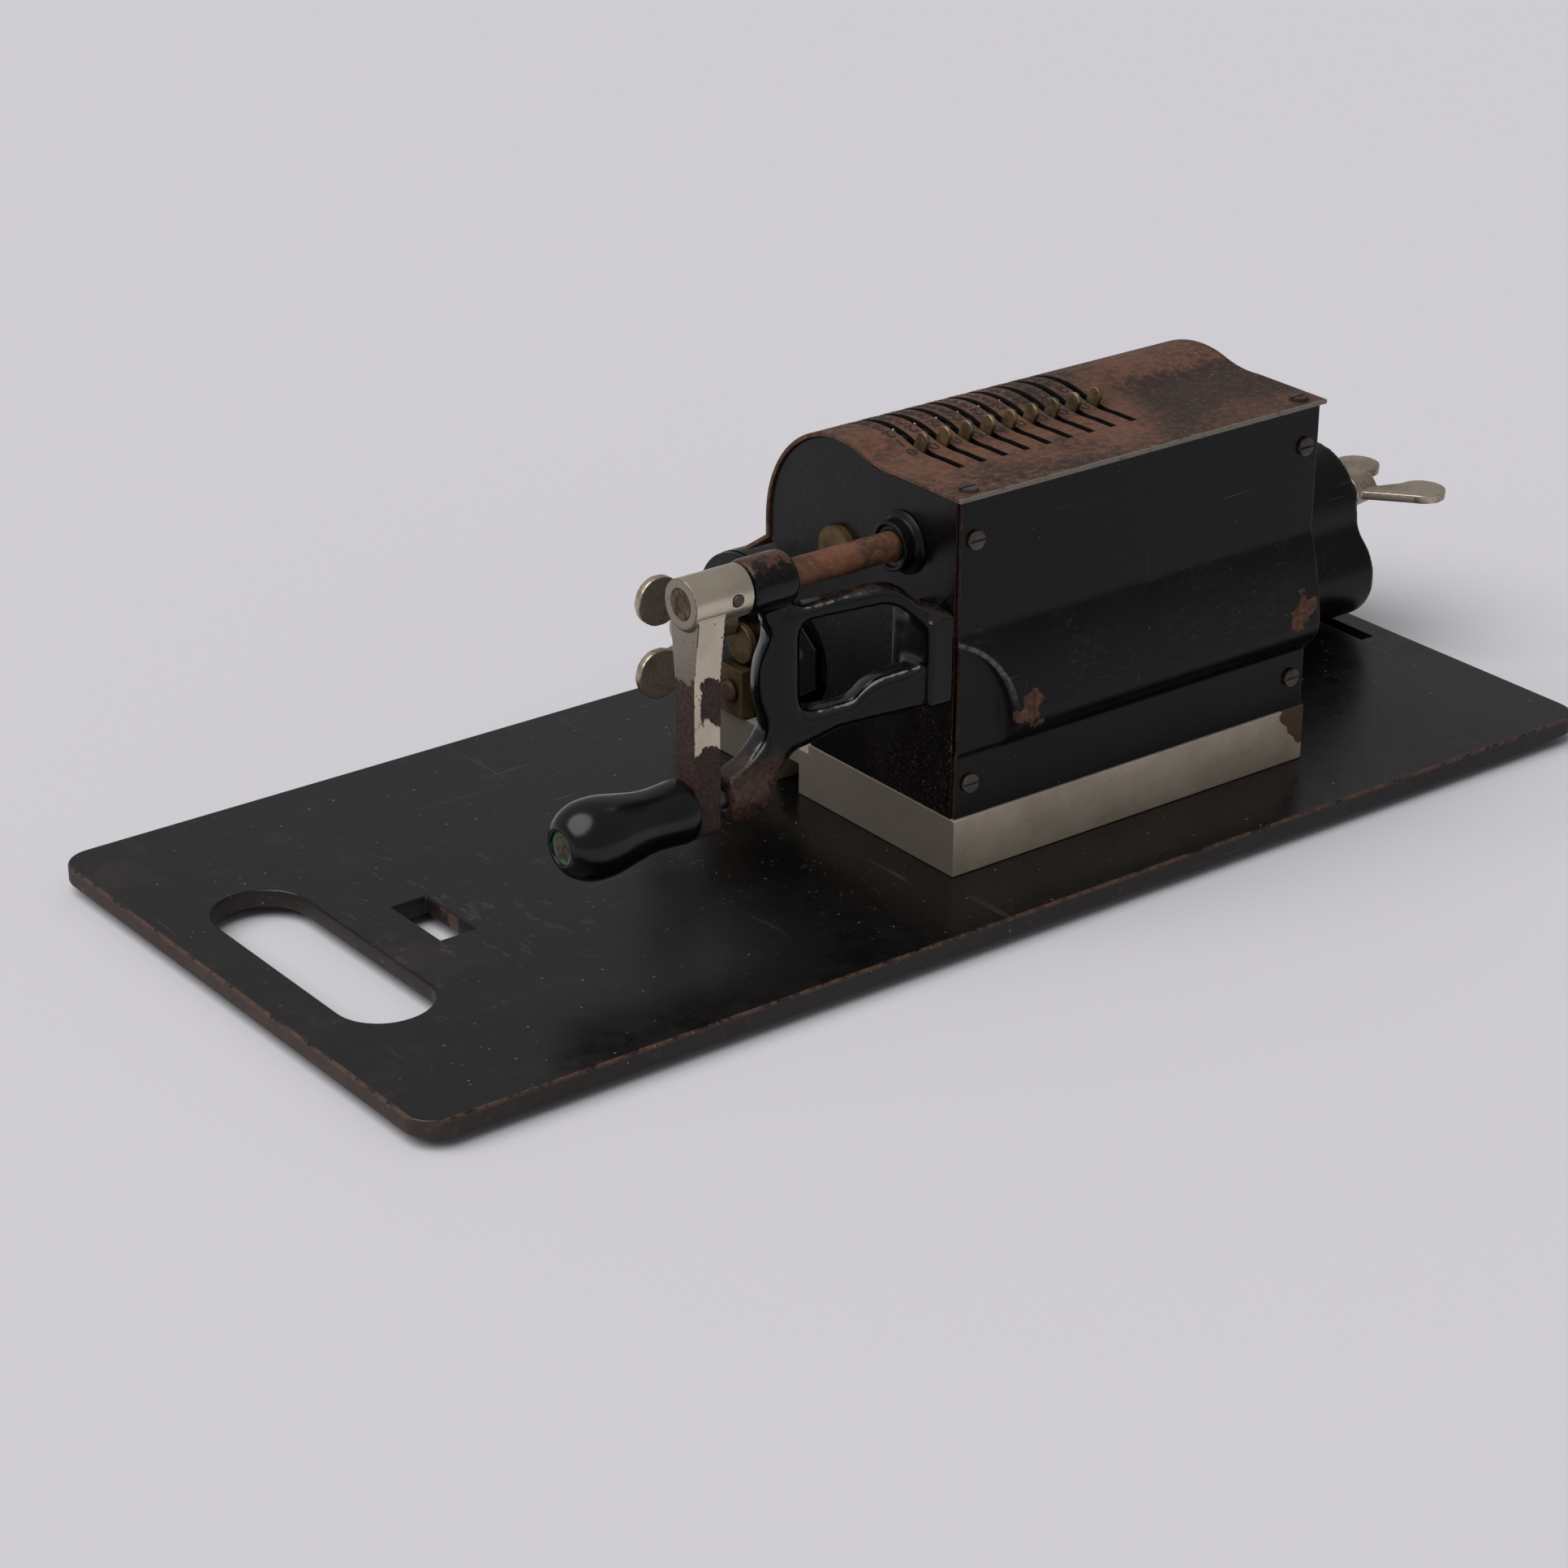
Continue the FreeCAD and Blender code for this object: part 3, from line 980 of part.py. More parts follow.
for thing in doc.Objects:
    if "Invalid" in thing.State or "Error" in thing.State:
        raise RuntimeError(f"{thing.Label} failed: {thing.State}")
os.makedirs("parts", exist_ok=True)
for node in nodes:
    if node.Shape.isNull() or not node.Shape.isValid():
        raise RuntimeError(f"{node.Label} has no valid shape")
for node in nodes:
    node.Shape.exportStep(f"parts/{node.Label}.step")
    print(node.Label, len(node.Shape.Solids), round(node.Shape.Volume))
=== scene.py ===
import json
import math

import bpy
import numpy as np
from mathutils import Matrix, Vector


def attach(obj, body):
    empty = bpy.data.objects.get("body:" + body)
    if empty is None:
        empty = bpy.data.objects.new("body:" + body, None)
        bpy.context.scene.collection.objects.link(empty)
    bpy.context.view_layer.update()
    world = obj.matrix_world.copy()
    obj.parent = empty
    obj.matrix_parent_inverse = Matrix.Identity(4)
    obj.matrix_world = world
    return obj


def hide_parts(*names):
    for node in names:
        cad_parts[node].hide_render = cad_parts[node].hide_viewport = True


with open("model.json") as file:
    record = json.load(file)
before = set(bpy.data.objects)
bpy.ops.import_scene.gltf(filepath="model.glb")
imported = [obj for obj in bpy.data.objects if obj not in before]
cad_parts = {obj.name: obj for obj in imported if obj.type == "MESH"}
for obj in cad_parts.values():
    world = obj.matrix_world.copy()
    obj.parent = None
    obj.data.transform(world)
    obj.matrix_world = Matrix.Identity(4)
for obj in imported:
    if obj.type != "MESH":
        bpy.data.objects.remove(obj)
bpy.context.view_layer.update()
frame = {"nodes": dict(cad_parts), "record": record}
nodes = frame["nodes"]
bodyOf = {node: body for body, names in frame["record"]["behaviour"]["bodies"].items() for node in names}
print("frame loaded:", len(nodes), "nodes")

# where the machine stands in the frame, in millimetres, and how many levers it has
layout = {"middleX": 13.9, "boardTop": 10.5, "drumY": 17.5, "drumZ": 97.5, "idlerY": -9.1, "idlerZ": 49.9,
          "numberY": -45.2, "numberZ": 52.5, "pitch": 9.4, "firstX": 1.5, "levers": 9, "crankZ": 110.5,
          "gearSpan": 36.0, "crankRadius": 70.7}
rise = layout["crankZ"] - layout["drumZ"]
# y and height of the crank's shaft, one gear span away from the drum's, and the height of the handle below it
crankAxis = (layout["drumY"] + math.sqrt(layout["gearSpan"] ** 2 - rise ** 2), layout["crankZ"])
handleZ = layout["crankZ"] - layout["crankRadius"]


class Wire:
    # one shader socket; arithmetic on it adds Math nodes to its finish
    def __init__(self, finish, socket):
        self.finish = finish
        self.socket = socket

    def math(self, operation, first, second=None):
        sockets = {0: first} if second is None else {0: first, 1: second}
        return self.finish.node("ShaderNodeMath", {"operation": operation}, sockets)

    def __add__(self, other):
        return self.math("ADD", self, other)

    def __radd__(self, other):
        return self.math("ADD", other, self)

    def __sub__(self, other):
        return self.math("SUBTRACT", self, other)

    def __rsub__(self, other):
        return self.math("SUBTRACT", other, self)

    def __mul__(self, other):
        return self.math("MULTIPLY", self, other)

    def __rmul__(self, other):
        return self.math("MULTIPLY", other, self)

    def __abs__(self):
        return self.math("ABSOLUTE", self)

    def root(self):
        return self.math("SQRT", self)

    def least(self, other):
        return self.math("MINIMUM", self, other)

    def most(self, other):
        return self.math("MAXIMUM", self, other)

    def ramp(self, low, high):
        # 0 below low, 1 above high, eased between; low above high turns it round
        if low > high:
            return 1.0 - self.ramp(high, low)
        return self.finish.node("ShaderNodeMapRange", {"interpolation_type": "SMOOTHSTEP"},
                                {0: self, 1: low, 2: high, 3: 0.0, 4: 1.0})


class Finish:
    # a material whose nodes are added by expressions; lengths inside it are millimetres in the object's frame
    def __init__(self, name):
        self.material = bpy.data.materials.new(name)
        self.material.use_nodes = True
        self.tree = self.material.node_tree
        self.shader = self.tree.nodes["Principled BSDF"]
        coordinates = self.tree.nodes.new("ShaderNodeTexCoord")
        inMetres = Wire(self, coordinates.outputs["Object"])
        self.place = self.node("ShaderNodeVectorMath", {"operation": "SCALE"}, {0: inMetres, "Scale": 1000.0})
        split = self.tree.nodes.new("ShaderNodeSeparateXYZ")
        self.tree.links.new(self.place.socket, split.inputs[0])
        self.x, self.y, self.z = [Wire(self, output) for output in split.outputs]

    def node(self, kind, settings, sockets, output=0):
        made = self.tree.nodes.new(kind)
        for key, setting in settings.items():
            setattr(made, key, setting)
        for key, value in sockets.items():
            if isinstance(value, Wire):
                self.tree.links.new(value.socket, made.inputs[key])
            else:
                made.inputs[key].default_value = value
        return Wire(self, made.outputs[output])

    def noise(self, size, detail=3.0, rough=0.55, stretch=(1, 1, 1), shift=0.0):
        # soft cloud pattern about 0.5, whose lumps are about size millimetres across
        where = self.node("ShaderNodeMapping", {}, {"Vector": self.place, "Location": (shift, shift, shift),
                                                    "Scale": tuple(s / size for s in stretch)})
        return self.node("ShaderNodeTexNoise", {},
                         {"Vector": where, "Scale": 1.0, "Detail": detail, "Roughness": rough})

    def facing(self, axis):
        # how far the surface faces along an axis (0, 1 or 2), from -1 to 1
        surface = self.tree.nodes.new("ShaderNodeNewGeometry")
        return self.node("ShaderNodeSeparateXYZ", {}, {0: Wire(self, surface.outputs["Normal"])}, output=axis)

    def cells(self, size, shift=0.0):
        # distance to the nearest of scattered points that lie about size millimetres apart; 0 at a point
        where = self.node("ShaderNodeMapping", {}, {"Vector": self.place, "Location": (shift, shift, shift),
                                                    "Scale": (1 / size, 1 / size, 1 / size)})
        return self.node("ShaderNodeTexVoronoi", {}, {"Vector": where, "Scale": 1.0})

    def mix(self, amount, under, over):
        # colours as (r, g, b) or wires
        pick = [value if isinstance(value, Wire) else (*value, 1.0) for value in (under, over)]
        return self.node("ShaderNodeMix", {"data_type": "RGBA", "clamp_factor": True},
                         {0: amount, 6: pick[0], 7: pick[1]}, output=2)

    def patch(self, x, y, z, reach):
        # 1 inside a ragged patch round a point, in millimetres from the middle of the board
        dx = self.x - (x + layout["middleX"])
        dy = self.y - y
        dz = self.z - (z + layout["boardTop"])
        ragged = (self.noise(reach * 0.9, 3.2, 0.5, shift=x) - 0.5) * (reach * 2.2)
        return ((dx * dx + dy * dy + dz * dz).root() + ragged).ramp(reach * 0.64, reach * 0.58)

    def bump(self, height, depth, strength=1.0):
        sockets = {"Height": height, "Strength": strength, "Distance": depth / 1000}
        normal = self.node("ShaderNodeBump", {}, sockets)
        self.tree.links.new(normal.socket, self.shader.inputs["Normal"])

    def set(self, **sockets):
        names = {"colour": "Base Color", "rough": "Roughness", "metal": "Metallic", "coat": "Coat Weight",
                 "coatRough": "Coat Roughness", "ior": "IOR"}
        for key, value in sockets.items():
            socket = self.shader.inputs[names[key]]
            if isinstance(value, Wire):
                self.tree.links.new(value.socket, socket)
            else:
                socket.default_value = (*value, 1.0) if isinstance(value, tuple) else value
        return self.material


def dress(material, *names):
    for name in names:
        mesh = nodes[name].data
        mesh.materials.clear()
        mesh.materials.append(material)


boardLook = {"black": (0.0012, 0.0012, 0.0013), "worn": (0.0052, 0.0042, 0.0036),
             "rust": (0.092, 0.046, 0.030), "side": (0.0085, 0.0062, 0.0052), "dust": (0.17, 0.15, 0.13),
             "crumb": (0.120, 0.055, 0.030), "brown": (0.0200, 0.0130, 0.0095), "end": (0.0300, 0.0165, 0.0120),
             "holeX": 173.5, "crumbX": 62.0, "crumbY": 34.0, "halfLength": 250.0, "halfWidth": 113.0}


def boardFinish():
    # glossy black paint: dull patches, scratches, dust, rust along the upper edge, crumbs under the crank
    look = boardLook
    f = Finish("boardPaint")
    broad = f.noise(90, 4)
    grain = f.noise(9, 5, 0.65)
    fine = f.noise(1.6, 4, 0.7)
    inset = (look["halfLength"] - abs(f.x - layout["middleX"])).least(look["halfWidth"] - abs(f.y))
    drop = layout["boardTop"] - f.z
    rim = (inset.most(drop) + (fine - 0.5) * 1.2).ramp(1.25, 0.75)
    rim = rim * (grain * 0.5 + fine * 0.5).ramp(0.40, 0.56)
    wall = abs(f.facing(2)).ramp(0.6, 0.3)
    stain = (grain * 0.5 + broad).ramp(0.62, 1.02)
    border = inset.ramp(40.0, 3.0) * grain.ramp(0.32, 0.74)
    along = f.noise(2.2, 2, 0.5, (0.035, 1.0, 1.0)).ramp(0.70, 0.74)
    across = f.noise(2.6, 2, 0.5, (1.0, 0.05, 1.0), 4.4).ramp(0.71, 0.75)
    scratch = along.most(across) * broad.ramp(0.42, 0.60)
    dent = f.noise(4.6, 3, 0.6, (0.6, 1.0, 1.0), 8.3).ramp(0.69, 0.76)
    fromHole = f.x - (layout["middleX"] + look["holeX"])
    nearHole = (fromHole * fromHole + f.y * f.y).root().ramp(75.0, 20.0)
    nicks = f.noise(4.4, 2, 0.5, (1.0, 0.4, 1.0), 12.0).ramp(0.63, 0.68) * nearHole
    specks = f.cells(7.0).ramp(0.075, 0.045) * f.noise(26, 2).ramp(0.38, 0.54)
    dots = f.cells(6.0, 9.0).ramp(0.11, 0.07) * f.noise(17, 3, shift=5.5).ramp(0.46, 0.60)
    ahead = f.x - (layout["middleX"] + look["crumbX"])
    aside = f.y - look["crumbY"]
    nearCrank = (ahead * ahead + aside * aside).root().ramp(78.0, 18.0)
    crumbs = f.cells(3.1, 5.0).ramp(0.16, 0.10) * nearCrank * f.noise(12, 3, shift=2.0).ramp(0.44, 0.60)
    colour = f.mix((stain * 0.6).most(border * 0.8), look["black"], look["worn"])
    out = f.x - layout["middleX"]
    gripEnd = out.ramp(225.0, 246.0)
    handled = out.ramp(120.0, 215.0) * f.noise(28, 4, 0.65, shift=6.1).ramp(0.50, 0.68)
    colour = f.mix(handled * (0.3 + fine * 0.5), colour, look["brown"])
    flecks = (grain + gripEnd * 0.06).ramp(0.54, 0.66) * (fine + gripEnd * 0.08).ramp(0.42, 0.62)
    sides = f.mix(out.ramp(170.0, 210.0) * (0.35 + gripEnd * 0.5), look["side"], look["end"])
    colour = f.mix(wall, colour, f.mix(flecks * 0.40, sides, look["rust"]))
    colour = f.mix((rim * 0.8).most(wall * f.patch(look["holeX"], 0.0, -2.0, 17.0)), colour, look["rust"])
    # besides the scratches and dust specks, the nicks and dents are painted pale: a painted highlight on their
    # edges
    colour = f.mix(scratch * 0.12 + specks * 0.75 + dent * 0.05 + nicks * 0.07, colour, look["dust"])
    colour = f.mix((crumbs * 0.8).most(dots * 0.5), colour, look["crumb"])
    f.bump(fine * 0.35 + grain * 0.65 + wall * grain - dent * 1.8 - nicks * 3.5, 0.14, 0.5)
    rough = 0.20 + stain * 0.10 + fine * 0.08 + border * 0.08 + (rim * 0.3).most(wall * 0.3)
    return f.set(colour=colour, rough=rough, ior=1.45)


nickelLook = {"plate": (0.53, 0.455, 0.360), "dull": (0.30, 0.245, 0.180), "bare": (0.052, 0.030, 0.020),
              "pale": (0.11, 0.062, 0.038), "shadeGrey": (0.120, 0.105, 0.082)}


def nickelFinish(name, patches=(), metal=0.92, rough=0.25, sideShade=0.0, rimWear=0.0):
    # dull warm nickel: cloudy tarnish, fine dirt, and brown iron where the plating has gone;
    # the side amount darkens what faces +X, a painted shade; rimWear bares what faces away from the X axis
    look = nickelLook
    f = Finish(name)
    cloud = f.noise(22, 5, 0.6)
    fine = f.noise(1.3, 4, 0.7)
    streak = f.noise(3.0, 4, 0.6, (0.25, 0.25, 1.0))
    colour = f.mix(cloud.ramp(0.36, 0.72) * 0.5 + fine.ramp(0.5, 0.75) * 0.25 + streak.ramp(0.5, 0.8) * 0.25,
                   look["plate"], look["dull"])
    gone = f.noise(7, 4, 0.65).ramp(0.765, 0.785)
    for x, y, z, reach in patches:
        gone = gone.most(f.patch(x, y, z, reach))
    if rimWear:
        rim = abs(f.facing(0)).ramp(0.50, 0.25) * (fine * 0.5 + cloud * 0.5).ramp(0.40, 0.56)
        gone = gone.most(rim * rimWear * 0.7)
    # painted shade: what faces +X is darkened by the side amount
    colour = f.mix(f.facing(0).ramp(0.4, 0.8) * sideShade, colour, look["shadeGrey"])
    colour = f.mix(gone, colour, f.mix(fine, look["bare"], look["pale"]))
    f.bump(fine * 0.4 + cloud * 0.3 - gone * 0.5, 0.10, 0.5)
    return f.set(colour=colour, metal=metal - gone * metal * 0.8,
                 rough=rough + cloud * 0.10 + fine * 0.06 + gone * 0.4)


# scuff is the colour of the painted highlight along the pressed field's arc
lacquerLook = {"black": (0.0013, 0.0013, 0.0015), "haze": (0.0080, 0.0072, 0.0068),
               "bare": (0.060, 0.028, 0.018), "pale": (0.125, 0.060, 0.038), "dust": (0.21, 0.19, 0.16),
               "grime": (0.150, 0.058, 0.034), "shelf": (0.034, 0.029, 0.020), "scuff": (0.180, 0.170, 0.185)}


def lacquerFinish(name, patches=(), edges=(), grime=0.0, ior=1.30, highlightArc=None):
    # gloss black lacquer, hazed in patches and worn through to brown metal at the stated places;
    # grime adds red-brown specks, the arc argument (x, z, radius) a pale arc that is a painted highlight, and
    # dust on what faces up
    look = lacquerLook
    f = Finish(name)
    cloud = f.noise(34, 4, 0.6)
    fine = f.noise(1.1, 4, 0.7)
    wipe = f.noise(6, 4, 0.6, (0.12, 1.0, 1.0))
    colour = f.mix(cloud.ramp(0.45, 0.75) * 0.35 + wipe.ramp(0.55, 0.8) * 0.35 + fine.ramp(0.6, 0.8) * 0.2,
                   look["black"], look["haze"])
    level = f.noise(1.5, 2, 0.5, (0.03, 1.0, 1.0)).ramp(0.71, 0.75)
    upright = f.noise(1.5, 2, 0.5, (1.0, 1.0, 0.05), 6.0).ramp(0.74, 0.77)
    hairline = level.most(upright)
    dust = f.cells(5.0, 1.0).ramp(0.075, 0.04) * f.noise(18, 3, shift=3.0).ramp(0.46, 0.62)
    colour = f.mix(hairline * 0.16 + dust * 0.4, colour, look["dust"])
    if grime:
        low = (f.z - layout["boardTop"]).ramp(104.0, 70.0) * f.y.ramp(22.0, 48.0)
        spots = f.noise(1.7, 4, 0.75).ramp(0.57, 0.66) * f.noise(26, 3).ramp(0.40, 0.60)
        smear = f.noise(15, 4, shift=9.0).ramp(0.36, 0.62)
        film = f.noise(1.2, 5, 0.8, shift=7.0).ramp(0.53, 0.68) * smear * low
        colour = f.mix((spots * (0.2 + low * 0.8)).most(film * 0.7) * grime, colour, look["grime"])
    if highlightArc:
        shelf = f.facing(2).ramp(0.02, 0.14) * f.noise(1.8, 5, 0.75, (0.5, 1.0, 1.0)).ramp(0.50, 0.66)
        colour = f.mix(shelf * f.noise(30, 3).ramp(0.40, 0.60) * 0.5, colour, look["shelf"])
        centreX, centreZ, radius = highlightArc
        dx = f.x - (centreX + layout["middleX"])
        dz = f.z - (centreZ + layout["boardTop"])
        # a pale arc along the pressed field's upper edge: a painted highlight
        arc = abs((dx * dx + dz * dz).root() - (radius + 0.9)).ramp(1.1, 0.3)
        arc = arc * f.noise(3, 4, 0.7).ramp(0.26, 0.56)
        colour = f.mix(arc * dz.ramp(3.0, 16.0) * 0.7, colour, look["scuff"])
    gone = f.noise(4, 4, 0.6).ramp(0.80, 0.82)
    for x, y, z, reach in patches:
        gone = gone.most(f.patch(x, y, z, reach))
    for axis, place, width in edges:
        distance = abs({"x": f.x - layout["middleX"], "y": f.y, "z": f.z - layout["boardTop"]}[axis] - place)
        gone = gone.most((distance + (f.noise(5, 4) - 0.5) * width * 3.0).ramp(width, width * 0.6) * 0.4)
    colour = f.mix(gone, colour, f.mix(f.noise(2.4, 4, 0.7).ramp(0.42, 0.62), look["bare"], look["pale"]))
    f.bump(fine * 0.3 + cloud * 0.25 - gone * 0.9, 0.09, 0.45)
    return f.set(colour=colour, rough=0.24 + cloud.ramp(0.4, 0.8) * 0.14 + fine * 0.08 + gone * 0.35, ior=ior)


rustLook = {"dark": (0.024, 0.0160, 0.0130), "brown": (0.140, 0.064, 0.040), "orange": (0.310, 0.120, 0.055),
            "bare": (0.24, 0.215, 0.185), "slot": (0.004, 0.003, 0.0025), "plated": (0.17, 0.125, 0.085),
            "platedDark": (0.070, 0.044, 0.028)}


def rustFinish(name, orange, darkSide=False, bareRear=None, platedFrom=None, slots=None, glow=0.0):
    # brown rust in layers: dark skin, brown bloom, orange pits; darkSide keeps more black at the far end,
    # bareRear is the y from which an edge is bare, platedFrom the x from which plating is left,
    # slots the x span whose walls are painted near black, a painted shade, glow how much orange lies in the
    # bloom
    look = rustLook
    f = Finish(name)
    broad = f.noise(30, 4, 0.6)
    grain = f.noise(3.2, 5, 0.7)
    pits = f.noise(0.9, 3, 0.7)
    bloom = (broad * 0.6 + grain * 0.55).ramp(0.40, 0.70)
    if darkSide:
        near = (f.x - layout["middleX"] + (broad - 0.5) * 60.0).ramp(-104.0, -52.0)
        hump = (f.z - layout["boardTop"] + (grain - 0.5) * 3.0).ramp(134.2, 136.0)
        rear = (f.y + (broad - 0.5) * 20.0).ramp(56.0, 70.0)
        bloom = bloom * (0.14 + near * 0.86).most((hump * 0.9).most(rear * 0.55))
    colour = f.mix(bloom, look["dark"], look["brown"])
    if glow:
        colour = f.mix(0.08 + broad.ramp(0.4, 0.65) * glow, colour, look["orange"])
    colour = f.mix(pits.ramp(0.5, 0.72) * grain.ramp(0.45, 0.6) * orange, colour, look["orange"])
    metal = 0.2
    if bareRear is not None:
        bare = (f.y + (grain - 0.5) * 1.6).ramp(bareRear, bareRear + 0.4) * grain.ramp(0.28, 0.45)
        colour = f.mix(bare * 0.9, colour, look["bare"])
        metal = 0.15 + bare * 0.6
    if slots is not None:
        first, last = slots
        inside = f.x.ramp(first - 1.0, first) * f.x.ramp(last + 1.0, last)
        # painted shade: the slot walls are painted near black
        colour = f.mix(abs(f.facing(0)).ramp(0.55, 0.75) * inside, colour, look["slot"])
    if platedFrom is not None:
        plated = (f.x - layout["middleX"]).ramp(platedFrom, platedFrom + 0.5)
        colour = f.mix(plated, colour, f.mix(grain.ramp(0.35, 0.65), look["plated"], look["platedDark"]))
        metal = 0.2 + plated * 0.5
    f.bump(grain * 0.5 + pits * 0.6, 0.12, 0.6)
    return f.set(colour=colour, metal=metal, rough=0.50 + grain * 0.24, ior=1.4)


def metalFinish(name, bright, dull, rough, metal):
    # oiled or aged metal: cloudy stain with darker fine dirt
    f = Finish(name)
    cloud = f.noise(8, 4, 0.6)
    fine = f.noise(0.8, 3, 0.7)
    colour = f.mix(cloud.ramp(0.38, 0.68) * 0.7 + fine.ramp(0.55, 0.75) * 0.3, bright, dull)
    f.bump(fine * 0.5 + cloud * 0.3, 0.05, 0.5)
    return f.set(colour=colour, metal=metal, rough=rough + cloud * 0.14 + fine * 0.08)


armLook = {"plate": (0.60, 0.525, 0.42), "shade": (0.29, 0.250, 0.203), "iron": (0.013, 0.0068, 0.0055),
           "rust": (0.075, 0.032, 0.021), "line": 84.0, "island": (59.6, 70.4), "strip": 106.4}


def armFinish():
    # nickel on the upper part of the crank arm and in islands below it; the rest is dark rusted iron
    look = armLook
    f = Finish("crankArm")
    cloud = f.noise(12, 5, 0.6)
    fine = f.noise(1.0, 4, 0.7)
    flake = f.noise(8, 5, 0.6, (1.0, 1.0, 0.8), 3.7)
    outer = f.facing(0).ramp(0.45, 0.70)
    rear = f.facing(1).ramp(0.45, 0.70)
    height = f.z - layout["boardTop"] + (flake - 0.5) * 22.0
    kept = height.ramp(look["line"] - 0.4, look["line"] + 0.4)
    low, high = look["island"]
    island = height.ramp(low - 0.4, low + 0.4) * height.ramp(high + 0.4, high - 0.4)
    strip = (f.x - layout["middleX"] + (flake - 0.5) * 9.0).ramp(look["strip"] - 0.2, look["strip"] + 0.2)
    kept = kept.most(island.most(strip * height.ramp(high - 0.4, high + 0.4)) * rear)
    ridge = f.facing(0).ramp(0.25, 0.5) * f.facing(1).ramp(0.25, 0.5)
    rubbed = (ridge * 0.16 + f.noise(1.6, 4, 0.7, shift=5.2)).ramp(0.69, 0.72)
    bare = 1.0 - kept * (1.0 - rubbed)
    turn = f.facing(0)
    hubEdge = (f.z - layout["boardTop"]).ramp(97.0, 99.0) * turn.ramp(0.12, 0.45) * turn.ramp(0.985, 0.85)
    bare = bare.most(hubEdge * (fine * 0.6 + cloud * 0.6).ramp(0.46, 0.66) * 0.75)
    bare = bare.most(f.cells(2.6, 7.0).ramp(0.16, 0.10) * f.noise(7, 3, shift=1.5).ramp(0.44, 0.58) * 0.8)
    # what faces +X takes the darker shade colour: painted shade on that side of the nickel
    plate = f.mix(cloud.ramp(0.4, 0.7) * 0.3, f.mix(outer, look["plate"], look["shade"]), nickelLook["dull"])
    iron = f.mix(fine.ramp(0.35, 0.7), look["iron"], look["rust"])
    f.bump(fine * 0.5 - bare * 0.9, 0.16, 0.6)
    rough = 0.25 + cloud * 0.1 + bare * 0.36
    return f.set(colour=f.mix(bare, plate, iron), metal=0.92 - bare * 0.8, rough=rough)


castingLook = {"dust": (0.050, 0.034, 0.024), "iron": (0.038, 0.018, 0.013), "rust": (0.130, 0.064, 0.044)}


def castingFinish():
    # thick gloss lacquer on the bracket, brown dust on what faces up, chips on the tube, a rusted socket
    look = castingLook
    f = Finish("bracketLacquer")
    cloud = f.noise(10, 4, 0.6)
    fine = f.noise(0.9, 4, 0.7)
    grain = f.noise(2.0, 5, 0.75, shift=4.0)
    dust = f.facing(2).ramp(0.15, 0.9) * cloud.ramp(0.35, 0.65) * (0.35 + grain.ramp(0.42, 0.60) * 0.65)
    height = f.z - layout["boardTop"]
    out = f.x - layout["middleX"]
    foot = (height + (cloud - 0.5) * 30.0).ramp(56.0, 44.0) * out.ramp(62.0, 78.0)
    rust = foot * (0.3 + grain.ramp(0.40, 0.58) * 0.7)
    tubeTop = (height + (grain - 0.5) * 14.0).ramp(116.6, 118.0)
    tubeTop = tubeTop * f.noise(5, 4, 0.6, shift=2.6).ramp(0.40, 0.52)
    chips = f.noise(4, 4, 0.6).ramp(0.75, 0.79).most(tubeTop * 0.8)
    colour = f.mix(dust * 0.55, lacquerLook["black"], look["dust"])
    colour = f.mix(rust.most(chips), colour, f.mix(fine, look["iron"], look["rust"]))
    f.bump(fine * 0.4 + cloud * 0.35 + rust * grain * 0.6 - chips * 0.4, 0.16, 0.5)
    coat = f.facing(2).ramp(0.05, 0.55) * height.ramp(107.0, 99.0) * (1.0 - dust * 0.6) * (1.0 - rust) * 0.8
    rough = 0.12 + dust * 0.35 + rust * 0.45 + cloud * 0.07
    return f.set(colour=colour, rough=rough, ior=1.34, coat=coat, coatRough=0.06)


gripLook = {"black": (0.0022, 0.0022, 0.0024), "scuff": (0.016, 0.013, 0.011)}


def gripFinish():
    # gloss black lacquered wood with faint turning lines and a few scuffs
    f = Finish("handleLacquer")
    lines = f.noise(1.2, 3, 0.5, (1.0, 0.03, 0.03))
    cloud = f.noise(14, 4)
    scuff = f.noise(3.0, 4, 0.7).ramp(0.68, 0.76)
    colour = f.mix(scuff * 0.35 + cloud.ramp(0.5, 0.8) * 0.15, gripLook["black"], gripLook["scuff"])
    f.bump(lines, 0.03, 0.4)
    return f.set(colour=colour, rough=0.17 + cloud * 0.1 + scuff * 0.25, ior=1.42)


enamelLook = {"pale": (0.58, 0.55, 0.47), "stain": (0.34, 0.30, 0.23), "steel": (0.24, 0.225, 0.20),
              "oil": (0.11, 0.098, 0.082), "ring": 14.15, "teeth": 14.3}


def enamelFinish(name, axisY, axisZ):
    # yellowed pale enamel on the figure rings; the teeth outside that radius are oily bare steel
    look = enamelLook
    f = Finish(name)
    cloud = f.noise(7, 4, 0.6)
    fine = f.noise(0.9, 3, 0.7)
    dy = f.y - axisY
    dz = f.z - (axisZ + layout["boardTop"])
    teeth = (dy * dy + dz * dz).root().ramp(look["ring"], look["teeth"])
    colour = f.mix(cloud.ramp(0.4, 0.7) * 0.5 + fine.ramp(0.55, 0.75) * 0.3, look["pale"], look["stain"])
    colour = f.mix(teeth, colour, f.mix(cloud.ramp(0.4, 0.7), look["steel"], look["oil"]))
    f.bump(fine, 0.04, 0.4)
    return f.set(colour=colour, metal=teeth * 0.9, rough=0.42 + cloud * 0.15 - teeth * 0.08)


rubberLook = {"dark": (0.016, 0.016, 0.016), "pale": (0.035, 0.034, 0.032)}


